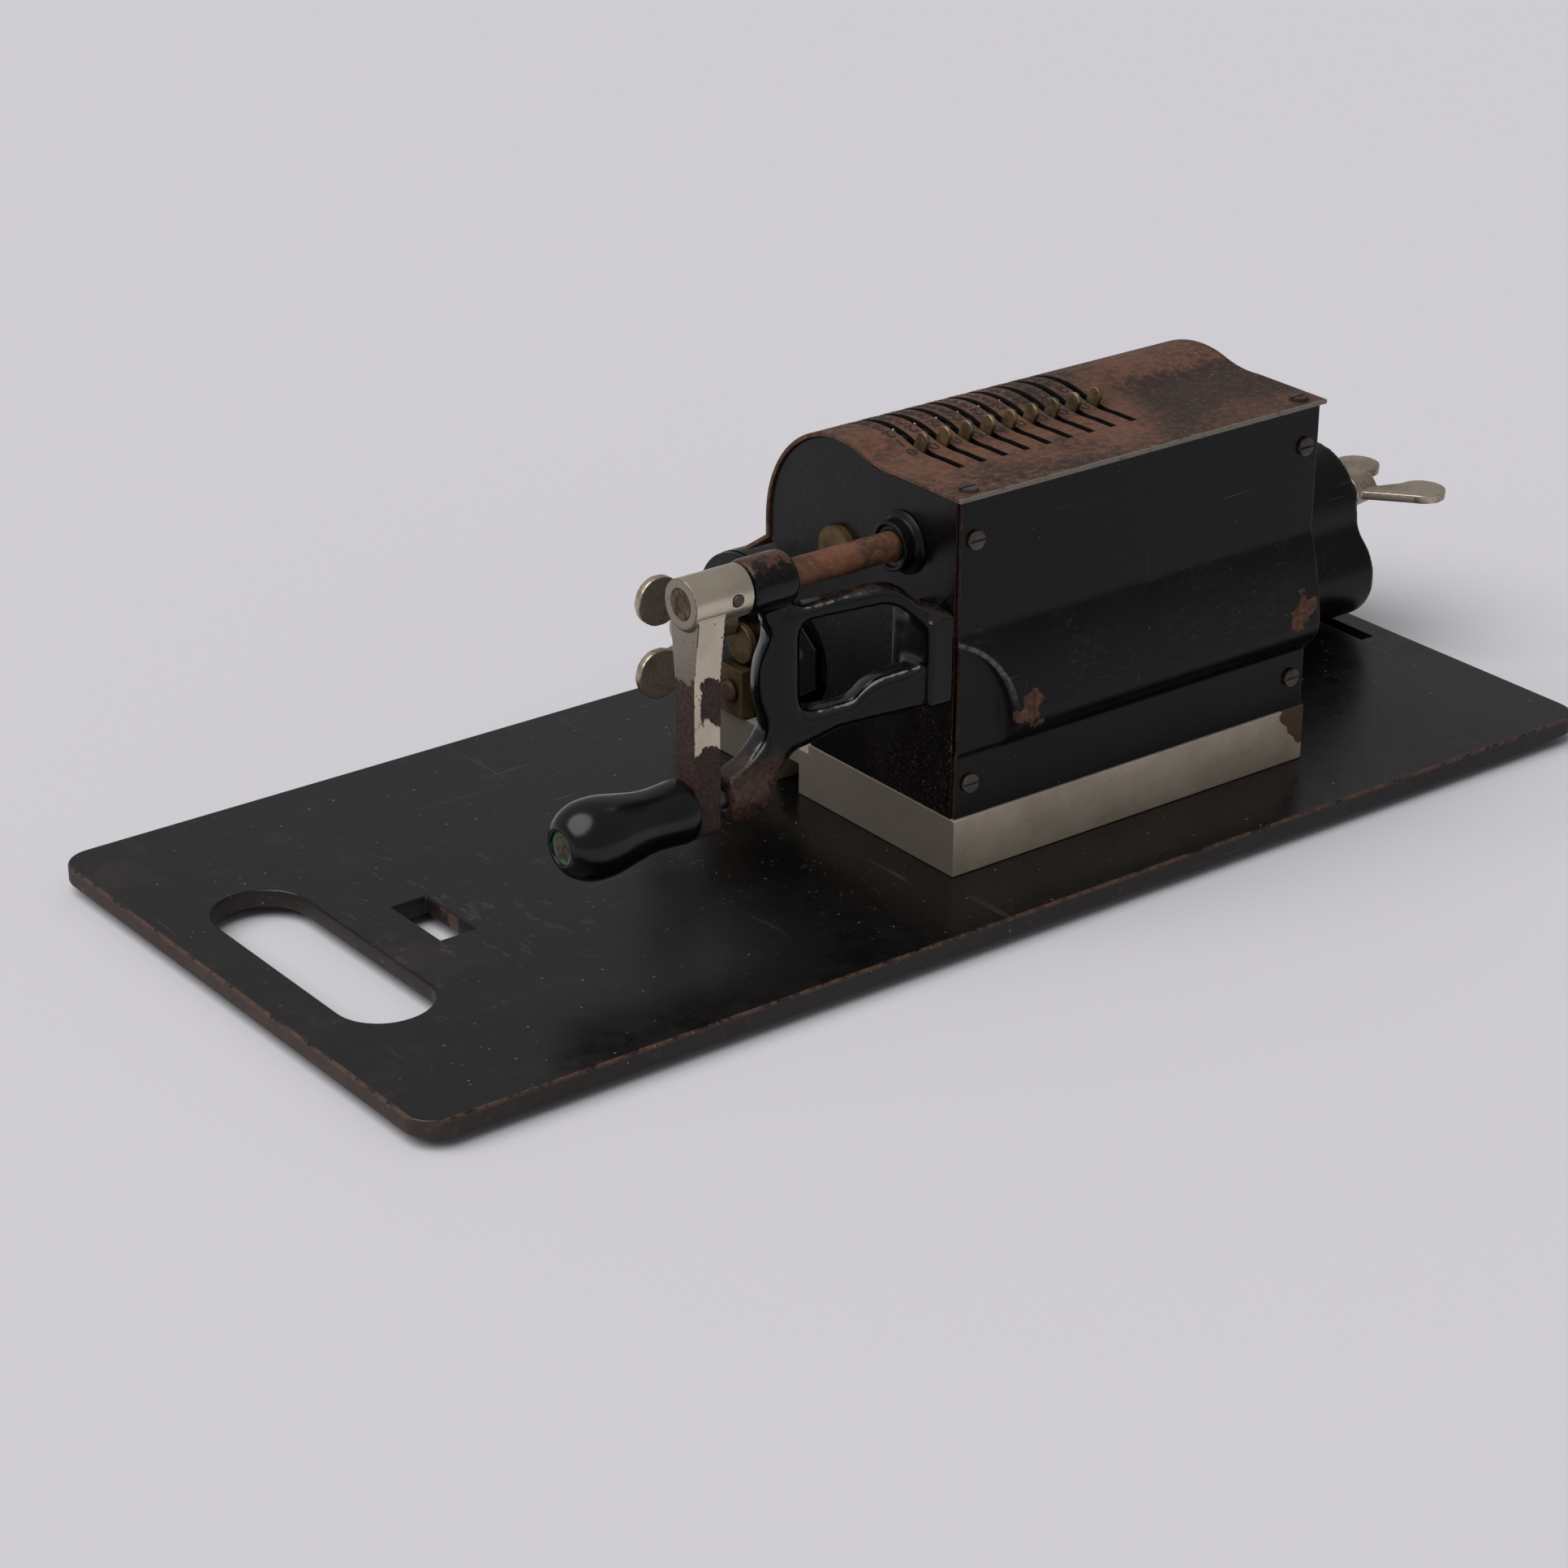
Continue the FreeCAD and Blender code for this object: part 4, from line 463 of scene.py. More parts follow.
def rubberFinish():
    # matt black rubber with a fine grain
    f = Finish("footRubber")
    fine = f.noise(0.8, 4, 0.7)
    f.bump(fine, 0.08, 0.6)
    return f.set(colour=f.mix(fine, rubberLook["dark"], rubberLook["pale"]), rough=0.75 + fine * 0.1)


leverLook = {"brass": (0.36, 0.27, 0.15), "stain": (0.11, 0.085, 0.058), "oil": (0.012, 0.010, 0.008),
             "ring": 38.5, "tab": 40.5}


def leverFinish():
    # rubbed brass on the finger tab; the ring inside the cover is painted near black, a painted shade inside
    # the machine
    look = leverLook
    f = Finish("leverBrass")
    cloud = f.noise(5, 4, 0.6)
    fine = f.noise(0.7, 3, 0.7)
    dy = f.y - layout["drumY"]
    dz = f.z - (layout["drumZ"] + layout["boardTop"])
    tab = (dy * dy + dz * dz).root().ramp(look["ring"], look["tab"])
    brass = f.mix(cloud.ramp(0.38, 0.62) * 0.75 + fine.ramp(0.5, 0.7) * 0.25, look["brass"], look["stain"])
    f.bump(fine, 0.04, 0.5)
    # the oil colour is the near-black painted shade of the ring
    return f.set(colour=f.mix(tab, look["oil"], brass), metal=0.2 + tab * 0.7, rough=0.40 + cloud * 0.16)


discLook = {"dark": (0.045, 0.030, 0.022), "brown": (0.120, 0.088, 0.068), "green": (0.018, 0.075, 0.048),
            "paleGreen": (0.060, 0.150, 0.105), "brownOut": 3.7, "greenIn": 4.5}


def discFinish():
    # the handle's end disc: brown stained metal with a green rim of verdigris
    look = discLook
    f = Finish("endDisc")
    cloud = f.noise(2.2, 4, 0.65)
    fine = f.noise(0.6, 3, 0.7)
    dy = f.y - crankAxis[0]
    dz = f.z - (handleZ + layout["boardTop"])
    green = ((dy * dy + dz * dz).root() + (cloud - 0.5) * 3.4).ramp(look["brownOut"], look["greenIn"])
    brown = f.mix(cloud.ramp(0.35, 0.65), look["dark"], look["brown"])
    f.bump(fine + cloud, 0.10, 0.6)
    verdigris = f.mix(fine, look["green"], look["paleGreen"])
    colour = f.mix(green * 0.9, brown, verdigris)
    return f.set(colour=colour, metal=0.45 - green * 0.4, rough=0.5 + fine * 0.2)


# bare patches as (x, y, height, reach), worn edges as (axis, place, width) and the back's pressed field as
# (x, height, radius), all from the middle of the board; then the x span of the cover's slots
baseChips = [(-137.5, 79.0, 17.0, 13.0)]
backChips = [(-7.4, 83.5, 56.4, 8.5), (-131.0, 83.0, 59.0, 9.0)]
backEdges = [("x", 19.7, 0.28), ("x", -138.6, 0.6)]
sideEdges = [("z", 20.6, 0.5)]
pressedField = (31.0, 52.0, 32.0)
slotX = layout["firstX"] + layout["middleX"]
slotSpan = (slotX - 8.3 * layout["pitch"], slotX + 3.0)
dress(boardFinish(), "carrying_board")
dress(rubberFinish(), "board_feet")
# the base's +X side carries the painted shade
dress(nickelFinish("baseNickel", baseChips, metal=0.52, rough=0.40, sideShade=0.75), "base_frame")
dress(nickelFinish("wingNickel", rimWear=1.0), "wing_nut_right", "wing_nut_left")
dress(armFinish(), "crank_arm")
dress(lacquerFinish("backLacquer", backChips, backEdges, ior=1.27, highlightArc=pressedField), "back_cover")
dress(lacquerFinish("sideLacquer", edges=sideEdges, grime=0.9),
      "side_plate_right", "side_plate_left", "stay_rods")
dress(lacquerFinish("carriageLacquer"),
      "carriage_end_plate", "carriage_housing", "carriage_bed", "result_cover", "counter_cover")
dress(lacquerFinish("bossLacquer", grime=0.4), "crank_bearing")
dress(rustFinish("coverRust", orange=0.8, darkSide=True, bareRear=78.6, slots=slotSpan), "top_cover")
dress(rustFinish("shaftRust", orange=1.0, platedFrom=88.0, glow=0.4), "crank_shaft")
dress(castingFinish(), "crank_bracket")
dress(gripFinish(), "handle_grip")
dress(enamelFinish("resultEnamel", layout["numberY"], layout["numberZ"]), "result_wheels")
dress(enamelFinish("counterEnamel", layout["idlerY"], layout["idlerZ"]), "counter_wheels")
dress(discFinish(), "handle_end_disc")
dress(leverFinish(), *[f"setting_lever_{digit}" for digit in range(1, layout["levers"] + 1)])

# plain metals: the two colours, roughness, how metallic, and the nodes that have them
metals = {
    "agedBrass": ((0.150, 0.100, 0.048), (0.044, 0.029, 0.017), 0.42, 0.85,
                  ("drum_bush_right", "drum_bush_left", "drum_shaft", "stop_block", "end_collar",
                   "idler_gears")),
    "rivetIron": ((0.120, 0.058, 0.036), (0.040, 0.020, 0.014), 0.5, 0.5, ("stop_rivet",)),
    "screwSteel": ((0.105, 0.090, 0.078), (0.036, 0.028, 0.023), 0.44, 0.75,
                   ("back_cover_screws", "top_cover_screws", "bracket_screws", "hold_down_bolts",
                    "crank_cross_pin")),
    "workingSteel": ((0.34, 0.33, 0.31), (0.17, 0.15, 0.13), 0.38, 0.95,
                     ("carriage_rail", "rear_post_right", "rear_post_left", "counting_finger", "drum_gear",
                      "crank_gear", "result_shaft", "counter_shaft", "carriage_mid_plate", "handle_spindle")),
    # the pinwheels, pins, carry discs and idler axle inside the machine are kept dark: painted shade
    "shadedSteel": ((0.085, 0.078, 0.068), (0.030, 0.026, 0.022), 0.5, 0.95,
                   ("pinwheels", "setting_pins", "carry_discs", "idler_axle"))}
for metalName, (bright, dull, rough, metal, dressed) in metals.items():
    dress(metalFinish(metalName, bright, dull, rough, metal), *dressed)
print("finishes on all nodes")


def addMesh(name, points, faces, material, body):
    mesh = bpy.data.meshes.new(name)
    mesh.from_pydata(points.tolist(), [], faces)
    mesh.materials.append(material)
    piece = bpy.data.objects.new(name, mesh)
    bpy.context.collection.objects.link(piece)
    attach(piece, body)
    return piece


# millimetres and degrees; wide stretches a figure across, typeSize and stroke are shares of its height
figures = {"coverHeight": 4.7, "coverWide": 1.12, "coverBeside": 4.7, "coverLift": 0.1, "step": 8.5,
           "restAngle": 27.0, "wheelHeight": 4.6, "wheelWide": 0.8, "wheelBeside": 3.3, "wheelRadius": 14.0,
           "wheelLift": 0.05, "typeSize": 1.38, "stroke": 0.014}
coverShape = {"humpRadius": 39.7, "humpFrom": -75.0, "humpTo": 19.1, "dipRadius": 41.0, "dipRear": 46.0,
              "flatZ": 133.6, "rear": 79.0}
# for each row of wheels: count, x of the first, y and height of the axis, degrees from +Y to the window, body
wheelRows = {"resultFigures": (13, layout["firstX"], layout["numberY"], layout["numberZ"], 120,
                               "result_register"),
             "counterFigures": (8, layout["firstX"] - 14 * layout["pitch"], layout["idlerY"], layout["idlerZ"],
                                155, "counter_register")}


def meshPoints(mesh):
    points = np.empty(len(mesh.vertices) * 3)
    mesh.vertices.foreach_get("co", points)
    return points.reshape(-1, 3)


def flatFigure(text, height):
    # a figure as flat triangles in its own plane, centred, height in millimetres
    curve = bpy.data.curves.new("figure", "FONT")
    curve.body = text
    curve.size = height * figures["typeSize"]
    curve.offset = height * figures["stroke"]
    curve.resolution_u = 3
    curve.align_x = "CENTER"
    curve.align_y = "CENTER"
    stamp = bpy.data.objects.new("figure", curve)
    bpy.context.collection.objects.link(stamp)
    bpy.context.view_layer.update()
    mesh = bpy.data.meshes.new_from_object(stamp)
    points = meshPoints(mesh)[:, :2]
    faces = [list(polygon.vertices) for polygon in mesh.polygons]
    bpy.data.objects.remove(stamp)
    bpy.data.meshes.remove(mesh)
    points -= (points.min(0) + points.max(0)) / 2
    return points, faces


def coverProfile():
    # the cover's outer line in (y, z): over the hump, down into the hollow, and back along the flat
    s = coverShape
    angle = np.radians(np.linspace(s["humpFrom"], s["humpTo"], 120))
    hump = np.stack([layout["drumY"] + s["humpRadius"] * np.sin(angle),
                     layout["drumZ"] + s["humpRadius"] * np.cos(angle)], 1)
    start, end = hump[-1], np.array([s["dipRear"], s["flatZ"]])
    chord = end - start
    towards = np.array([-chord[1], chord[0]]) / np.linalg.norm(chord)
    middle = (start + end) / 2 + towards * math.sqrt(s["dipRadius"] ** 2 - (chord @ chord) / 4)
    turn = np.linspace(math.atan2(*(start - middle)[::-1]), math.atan2(*(end - middle)[::-1]), 24)[1:]
    hollow = middle + s["dipRadius"] * np.stack([np.cos(turn), np.sin(turn)], 1)
    line = np.vstack([hump, hollow, [[s["rear"], s["flatZ"]]]])
    run = np.concatenate([[0], np.cumsum(np.linalg.norm(np.diff(line, axis=0), axis=1))])
    return line, run


def coverFigures(material):
    # figures 0 to 9 beside each slot, wrapped along the cover's line
    line, run = coverProfile()
    slope = np.gradient(line, run, axis=0)
    at = np.degrees(np.arctan2(line[:, 0] - layout["drumY"], line[:, 1] - layout["drumZ"]))
    points, faces = [], []
    for digit in range(10):
        flat, flatFaces = flatFigure(str(digit), figures["coverHeight"])
        along = np.interp(figures["restAngle"] - digit * figures["step"], at, run) + flat[:, 1]
        outY = -np.interp(along, run, slope[:, 1])
        outZ = np.interp(along, run, slope[:, 0])
        y = np.interp(along, run, line[:, 0]) + outY * figures["coverLift"]
        z = np.interp(along, run, line[:, 1]) + outZ * figures["coverLift"] + layout["boardTop"]
        for slot in range(layout["levers"]):
            besideX = layout["firstX"] - slot * layout["pitch"] + figures["coverBeside"] + layout["middleX"]
            first = sum(len(p) for p in points)
            points.append(np.stack([besideX + flat[:, 0] * figures["coverWide"], y, z], 1) / 1000)
            faces += [[first + corner for corner in face] for face in flatFaces]
    return addMesh("coverFigures", np.vstack(points), faces, material, "machine")


def wheelFigures(name, count, firstX, axisY, axisZ, facing, body, material):
    # figures round each wheel; figure 0 faces the window
    points, faces = [], []
    radius = figures["wheelRadius"] + figures["wheelLift"]
    for digit in range(10):
        flat, flatFaces = flatFigure(str(digit), figures["wheelHeight"])
        angle = math.radians(facing + 36 * digit) - flat[:, 1] / radius
        y = axisY + radius * np.cos(angle)
        z = axisZ + layout["boardTop"] + radius * np.sin(angle)
        for wheel in range(count):
            besideX = firstX - wheel * layout["pitch"] + figures["wheelBeside"] + layout["middleX"]
            first = sum(len(p) for p in points)
            points.append(np.stack([besideX + flat[:, 0] * figures["wheelWide"], y, z], 1) / 1000)
            faces += [[first + corner for corner in face] for face in flatFaces]
    return addMesh(name, np.vstack(points), faces, material, body)


def inkFinish(name, dark, worn):
    # dark ink, paler where it is worn
    f = Finish(name)
    fine = f.noise(1.5, 4, 0.7)
    return f.set(colour=f.mix(fine.ramp(0.45, 0.65), dark, worn), rough=0.6)


inks = {"etchedFigure": ((0.008, 0.006, 0.005), (0.030, 0.017, 0.012)),
        "wheelInk": ((0.012, 0.012, 0.012), (0.05, 0.045, 0.04))}
etched, printed = [inkFinish(name, dark, worn) for name, (dark, worn) in inks.items()]
coverFigures(etched)
for name, row in wheelRows.items():
    wheelFigures(name, *row, printed)
print("figures on the cover and the wheels")


def shown(name, piece):
    # the piece stands in for the CAD node, which is hidden: same body, same finish
    piece.data.materials.clear()
    piece.data.materials.append(nodes[name].data.materials[0])
    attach(piece, bodyOf[name])
    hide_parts(name)
    return piece


def mergedCopy(name, title):
    # the CAD mesh with its doubled points merged
    piece = bpy.data.objects.new(title, nodes[name].data.copy())
    piece.data.shade_smooth()
    bpy.context.collection.objects.link(piece)
    weld = piece.modifiers.new("weld", "WELD")
    weld.merge_threshold = 1e-6
    return piece


def settle(piece):
    # the modifiers' result becomes the piece's own mesh
    bpy.context.view_layer.update()
    finished = bpy.data.meshes.new_from_object(piece.evaluated_get(bpy.context.evaluated_depsgraph_get()))
    piece.modifiers.clear()
    piece.data = finished


# voxel size in millimetres and rounds of smoothing: how far a cast or stamped piece's corners run together
rounding = {"crank_bracket": ("bracketCasting", 0.7, 45), "crank_arm": ("armForging", 0.32, 3),
            "wing_nut_right": ("rightWing", 0.4, 8), "wing_nut_left": ("leftWing", 0.4, 8),
            "carriage_housing": ("housingCasting", 0.9, 6)}
# rounds of smoothing and the swelling after it; the radii of tube and socket, where the socket is and the pad
# ends; over what length the smoothing sets in and in how many steps
bars = {"rounds": 70, "swell": 0.9, "tube": 10.0, "socket": 11.0, "socketX": 88.0, "pad": 31.0,
        "ease": 4.0, "steps": 10}


def roundBars(piece):
    # more smoothing for the bracket's bars, none near the tube, the socket or the pad; then swollen back
    axis = np.array([layout["middleX"], crankAxis[0], crankAxis[1] + layout["boardTop"]])
    points = meshPoints(piece.data) * 1000 - axis
    fromTube = np.hypot(points[:, 1], points[:, 2]) - bars["tube"]
    socket = np.array([bars["socketX"], 0.0, -layout["crankRadius"]])
    fromSocket = np.linalg.norm(points - socket, axis=1) - bars["socket"]
    fromPad = points[:, 0] - bars["pad"]
    weight = np.clip(np.minimum(np.minimum(fromTube, fromSocket), fromPad) / bars["ease"], 0, 1)
    group = piece.vertex_groups.new(name="bars")
    steps = bars["steps"]
    for level in range(1, steps + 1):
        group.add(np.nonzero(np.ceil(weight * steps) == level)[0].tolist(), level / steps, "REPLACE")
    smooth = piece.modifiers.new("round", "SMOOTH")
    smooth.factor = 0.5
    smooth.iterations = bars["rounds"]
    smooth.vertex_group = group.name
    swell = piece.modifiers.new("swell", "DISPLACE")
    swell.strength = bars["swell"] / 1000
    swell.mid_level = 0.0
    swell.vertex_group = group.name
    settle(piece)


def roundedPiece(name):
    # the CAD mesh as even small faces, smoothed
    title, voxel, rounds = rounding[name]
    piece = mergedCopy(name, title)
    remesh = piece.modifiers.new("remesh", "REMESH")
    remesh.mode = "VOXEL"
    remesh.voxel_size = voxel / 1000
    smooth = piece.modifiers.new("smooth", "SMOOTH")
    smooth.factor = 0.5
    smooth.iterations = rounds
    settle(piece)
    if name == "crank_bracket":
        roundBars(piece)
    piece.data.shade_smooth()
    return shown(name, piece)


for name in rounding:
    roundedPiece(name)
print("cast pieces rounded")

# width in millimetres of the worn edge on pieces cut from plate or bar
wornEdges = {"carrying_board": ("boardPlate", 0.8), "base_frame": ("baseCasting", 0.5),
             "top_cover": ("coverSheet", 0.3), "stop_block": ("stopBar", 0.5),
             "stop_rivet": ("rivetHead", 1.5), "end_collar": ("collarDisc", 0.5),
             "crank_cross_pin": ("crossPin", 0.7), "carriage_end_plate": ("carriageEnd", 0.4),
             "side_plate_right": ("rightSide", 0.3), "back_cover_screws": ("backScrews", 0.2)}
for digit in range(1, layout["levers"] + 1):
    wornEdges[f"setting_lever_{digit}"] = (f"leverBlade{digit}", 0.35)
# in degrees: faces flatter than this to each other become one, corners sharper than this are worn
wornAngles = {"flat": 0.4, "sharp": 38}


def wornPiece(name):
    # the CAD mesh with its flat faces made one and its sharp edges worn round
    title, width = wornEdges[name]
    piece = mergedCopy(name, title)
    flat = piece.modifiers.new("flat", "DECIMATE")
    flat.decimate_type = "DISSOLVE"
    flat.angle_limit = math.radians(wornAngles["flat"])
    bevel = piece.modifiers.new("bevel", "BEVEL")
    bevel.width = width / 1000
    bevel.segments = 2
    bevel.limit_method = "ANGLE"
    bevel.angle_limit = math.radians(wornAngles["sharp"])
    bevel.use_clamp_overlap = False
    level = piece.modifiers.new("level", "WEIGHTED_NORMAL")
    level.keep_sharp = False
    settle(piece)
    return shown(name, piece)


for name in wornEdges:
    wornPiece(name)
print("plate edges worn round")


def gridFaces(rows, columns, closeRows=False, closeColumns=False):
    # quads of a grid of points numbered row by row, joined round where a direction closes on itself
    across = np.arange(columns if closeColumns else columns - 1)
    down = np.arange(rows if closeRows else rows - 1)
    i, j = np.meshgrid(down, across, indexing="ij")
    nextI, nextJ = (i + 1) % rows, (j + 1) % columns
    corners = [i * columns + j, i * columns + nextJ, nextI * columns + nextJ, nextI * columns + j]
    return np.stack(corners, -1).reshape(-1, 4).tolist()


def splineThrough(knots, steps):
    # a smooth line through the knots: each span is a cubic whose end slopes are half the neighbours' chord
    knots = np.array(knots, float)
    padded = np.vstack([2 * knots[0] - knots[1], knots, 2 * knots[-1] - knots[-2]])
    a, b, c, d = padded[:-3, None], padded[1:-2, None], padded[2:-1, None], padded[3:, None]
    t = np.linspace(0, 1, steps, endpoint=False)[None, :, None]
    slope, bend, twist = (c - a) / 2, a - 2.5 * b + 2 * c - d / 2, 1.5 * (b - c) + (d - a) / 2
    line = b + t * slope + t ** 2 * bend + t ** 3 * twist
    return np.vstack([line.reshape(-1, 2), knots[-1]])


def easedLoop(corners, step, rounds):
    # the closed outline walked in equal steps, then each point moved to the mean of itself and its neighbours
    loop = np.vstack([corners, corners[:1]])
    run = np.concatenate([[0], np.cumsum(np.linalg.norm(np.diff(loop, axis=0), axis=1))])
    at = np.linspace(0, run[-1], int(run[-1] / step), endpoint=False)
    line = np.stack([np.interp(at, run, loop[:, 0]), np.interp(at, run, loop[:, 1])], 1)
    for _ in range(rounds):
        line = line / 2 + (np.roll(line, 1, 0) + np.roll(line, -1, 0)) / 4
    return line


def turnedPiece(name, title, outline, axisY, axisZ, around):
    # an outline of (along X, radius) carried round its axis: y = axis + r cos, z = axis + r sin
    angle = np.linspace(0, 2 * math.pi, around, endpoint=False)
    x = np.repeat(outline[:, :1], around, 1) + layout["middleX"]
    y = axisY + outline[:, 1:] * np.cos(angle)
    z = axisZ + layout["boardTop"] + outline[:, 1:] * np.sin(angle)
    mesh = bpy.data.meshes.new(title)
    mesh.from_pydata((np.stack([x, y, z], -1).reshape(-1, 3) / 1000).tolist(), [],
                     gridFaces(len(outline), around, True, True))
    mesh.shade_smooth()
    piece = bpy.data.objects.new(title, mesh)
    bpy.context.collection.objects.link(piece)
    return shown(name, piece)


# outlines as (along X, radius); the grip's is the bulb by its knots, then the end disc's well and the bore
grip = {"root": 109.8, "rootRadius": 9.4, "end": 157.9, "bore": 3.55, "well": 5.45, "floor": 154.95,
        "step": 0.4, "rounds": 3, "span": 10, "around": 96,
        "knots": [(110.3, 10.2), (113.0, 10.65), (117.5, 10.35), (122.5, 10.15), (128.0, 10.6), (134.0, 11.75),
                  (140.0, 12.95), (145.0, 13.3), (149.5, 12.85), (153.5, 11.3), (156.4, 9.0), (157.8, 6.9)]}
boss = {"step": 0.22, "rounds": 5, "around": 96,
        "outline": [(17.7, 5.05), (17.7, 7.0), (20.7, 7.0), (20.7, 10.8), (21.6, 10.8), (22.4, 9.6),
                    (23.0, 8.6), (27.5, 8.6), (27.5, 7.0), (26.5, 7.0), (26.5, 5.05)]}
bulb = splineThrough(grip["knots"], grip["span"])
inner = [(grip["end"], grip["well"]), (grip["floor"], grip["well"]), (grip["floor"], grip["bore"]),
         (grip["root"], grip["bore"]), (grip["root"], grip["rootRadius"])]
gripLine = easedLoop(np.vstack([bulb, inner]), grip["step"], grip["rounds"])
turnedPiece("handle_grip", "turnedGrip", gripLine, crankAxis[0], handleZ, grip["around"])
bossLine = easedLoop(np.array(boss["outline"]), boss["step"], boss["rounds"])
turnedPiece("crank_bearing", "bearingBoss", bossLine, *crankAxis, boss["around"])
print("handle and boss turned")

# the sheet's edges, the bulge's heights, depth and two radii, and how the round field is pressed
sheetSize = {"left": -138.6, "right": 19.7, "low": 20.6, "high": 131.9, "rear": 78.0, "thick": 1.2,
             "step": 0.8, "top": 86.0, "crest": 57.0, "foot": 43.0, "depth": 6.5, "upper": 110.0,
             "lower": 13.0, "field": pressedField, "lift": 0.8, "ease": 1.3, "rounds": 3, "sharp": 50}


def arcDepth(height, start, end, radius):
    # depth of a circular arc that bulges outwards from start to end, both (depth, height)
    start, end = np.array(start), np.array(end)
    chord = end - start
    towards = np.array([chord[1], -chord[0]]) / np.linalg.norm(chord)
    centre = (start + end) / 2 + towards * math.sqrt(radius ** 2 - chord @ chord / 4)
    return centre[0] + np.sqrt(np.maximum(radius ** 2 - (height - centre[1]) ** 2, 0))


def eased(field, rounds):
    # each point of the field takes the mean of itself and its neighbours, both ways
    for _ in range(rounds):
        wide = np.pad(field, 1, mode="edge")
        beside = wide[:-2, 1:-1] + wide[2:, 1:-1] + wide[1:-1, :-2] + wide[1:-1, 2:]
        field = (field * 4 + beside) / 8
    return field


def pressedSheet():
    # the back cover as a height field: two arcs make the bulge, a round field at its right end is flat again
    s = sheetSize
    x = np.linspace(s["left"], s["right"], int((s["right"] - s["left"]) / s["step"]) + 1)
    z = np.linspace(s["low"], s["high"], int((s["high"] - s["low"]) / s["step"]) + 1)
    upper = arcDepth(z, (0, s["top"]), (s["depth"], s["crest"]), s["upper"])
    lower = arcDepth(z, (s["depth"], s["crest"]), (0, s["foot"]), s["lower"])
    bulge = np.where(z > s["crest"], upper, lower) * ((z > s["foot"]) & (z < s["top"]))
    gridX, gridZ = np.meshgrid(x, z)
    depth = np.repeat(np.maximum(bulge, 0)[:, None], len(x), 1)
    fieldX, fieldZ, fieldRadius = s["field"]
    away = np.hypot(gridX - fieldX, gridZ - fieldZ) - fieldRadius
    part = np.clip((away + s["ease"]) / (2 * s["ease"]), 0, 1)
    kept = part * part * (3 - 2 * part)
    depth = np.minimum(depth, s["lift"]) + np.maximum(depth - s["lift"], 0) * kept
    depth = eased(depth, s["rounds"])
    outer = np.stack([gridX, s["rear"] + depth, gridZ], -1)
    inner = outer - np.array([0, s["thick"], 0])
    points = np.vstack([outer.reshape(-1, 3), inner.reshape(-1, 3)])
    rows, columns = gridX.shape
    count = rows * columns
    front = gridFaces(rows, columns)
    index = np.arange(count).reshape(rows, columns)
    rim = np.concatenate([index[0, :-1], index[:-1, -1], index[-1, :0:-1], index[:0:-1, 0]])
    after = np.roll(rim, -1)
    faces = [face[::-1] for face in front] + [[count + corner for corner in face] for face in front]
    faces += np.stack([rim, after, after + count, rim + count], 1).tolist()
    points[:, 0] += layout["middleX"]
    points[:, 2] += layout["boardTop"]
    mesh = bpy.data.meshes.new("backSheet")
    mesh.from_pydata((points / 1000).tolist(), [], faces)
    mesh.shade_smooth()
    mesh.set_sharp_from_angle(angle=math.radians(s["sharp"]))
    piece = bpy.data.objects.new("backSheet", mesh)
    bpy.context.collection.objects.link(piece)
    return shown("back_cover", piece)


pressedSheet()
print("back cover pressed")

studio = {"floorColour": (0.655, 0.642, 0.672), "floorRough": 0.9, "floorHalf": 8.0,
          "sky": (1.0, 0.99, 1.0, 1.0), "world": 0.30, "sun": 2.35, "sunFrom": (0.55, -0.05, 1.0),
          "sunWidth": 62.0, "sunStand": (0.5, 0.0, 1.5)}
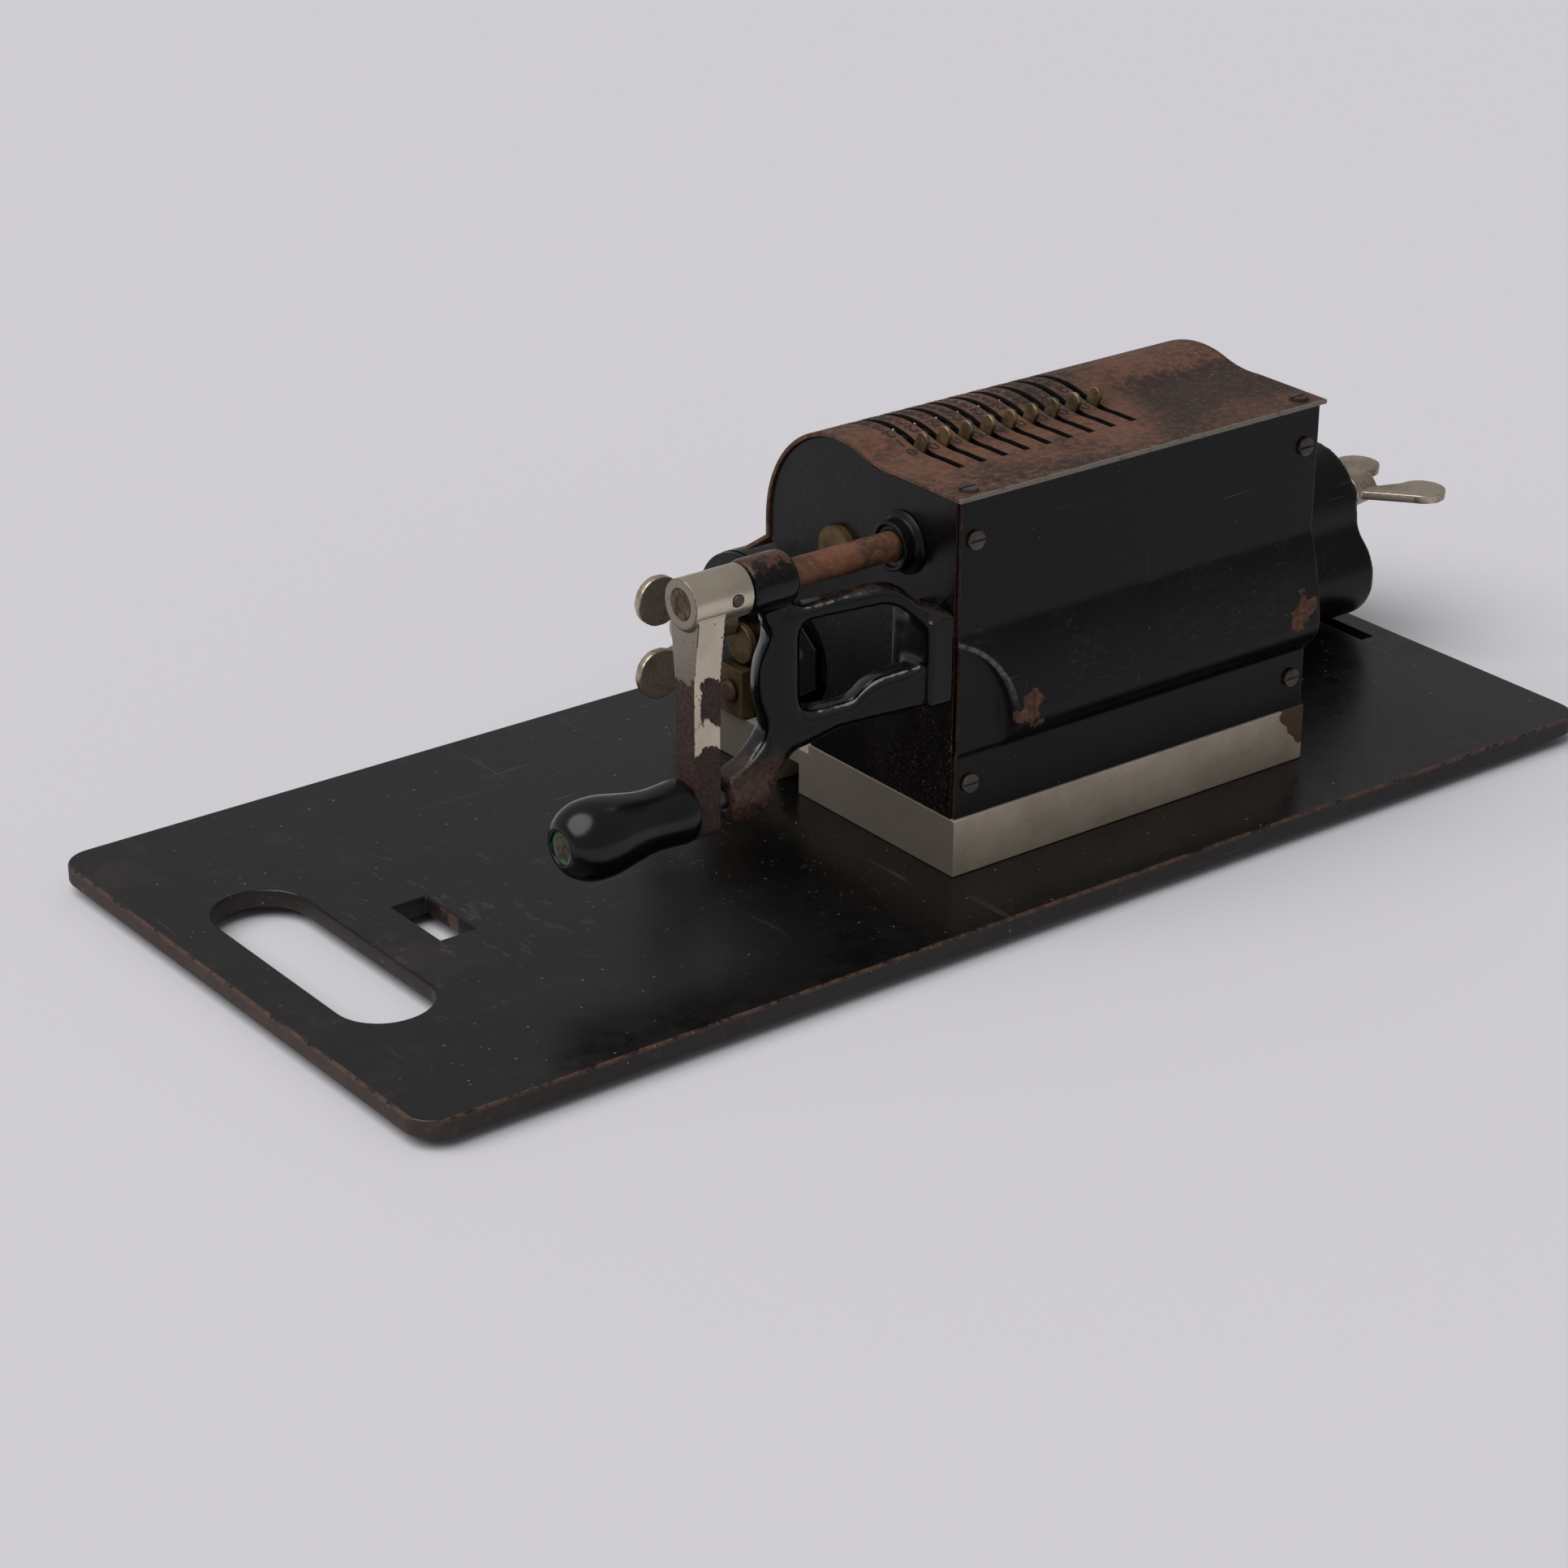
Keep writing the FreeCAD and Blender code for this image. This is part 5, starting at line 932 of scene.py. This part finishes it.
# the station in metres from the middle of the board, angles in degrees, lens and sensor in millimetres
station = {"x": 0.7647, "y": 0.9521, "z": 0.5751, "elevation": 24.847, "heading": 52.357, "roll": 0.28,
           "lens": 88.57, "sensor": 36.0, "near": 0.05, "far": 50.0}


def addStage():
    # a pale floor and an even sky
    half = studio["floorHalf"]
    mesh = bpy.data.meshes.new("floor")
    corners = [(-half, -half, 0), (half, -half, 0), (half, half, 0), (-half, half, 0)]
    mesh.from_pydata(corners, [], [(0, 1, 2, 3)])
    f = Finish("floorPaper")
    mesh.materials.append(f.set(colour=studio["floorColour"], rough=studio["floorRough"]))
    floor = bpy.data.objects.new("floor", mesh)
    bpy.context.collection.objects.link(floor)
    world = bpy.data.worlds.new("studio")
    bpy.context.scene.world = world
    world.use_nodes = True
    background = world.node_tree.nodes["Background"]
    background.inputs["Color"].default_value = studio["sky"]
    background.inputs["Strength"].default_value = studio["world"]


def addSun():
    # one broad even source, high and to the left of the camera
    lamp = bpy.data.lights.new("softSky", "SUN")
    lamp.energy = studio["sun"]
    lamp.angle = math.radians(studio["sunWidth"])
    stand = bpy.data.objects.new("softSky", lamp)
    stand.rotation_euler = Vector(studio["sunFrom"]).to_track_quat("Z", "Y").to_euler()
    stand.location = studio["sunStand"]
    bpy.context.collection.objects.link(stand)


def addCamera():
    # the photograph's station: a long lens from behind and above, with hardly any roll
    place = Vector((station["x"] + layout["middleX"] / 1000, station["y"], station["z"]))
    elevation, heading, roll = [math.radians(station[key]) for key in ("elevation", "heading", "roll")]
    flat = math.cos(elevation)
    back = Vector((math.cos(heading) * flat, math.sin(heading) * flat, math.sin(elevation)))
    lens = bpy.data.cameras.new("camera")
    lens.sensor_width = station["sensor"]
    lens.lens = station["lens"]
    lens.clip_start, lens.clip_end = station["near"], station["far"]
    camera = bpy.data.objects.new("camera", lens)
    turn = (-back).to_track_quat("-Z", "Y").to_matrix() @ Matrix.Rotation(roll, 3, "Z")
    camera.matrix_world = Matrix.Translation(place) @ turn.to_4x4()
    bpy.context.collection.objects.link(camera)
    bpy.context.scene.camera = camera


addStage()
addSun()
addCamera()
bpy.context.scene.view_settings.view_transform = "Standard"
print("studio and camera set")

bpy.context.view_layer.update()
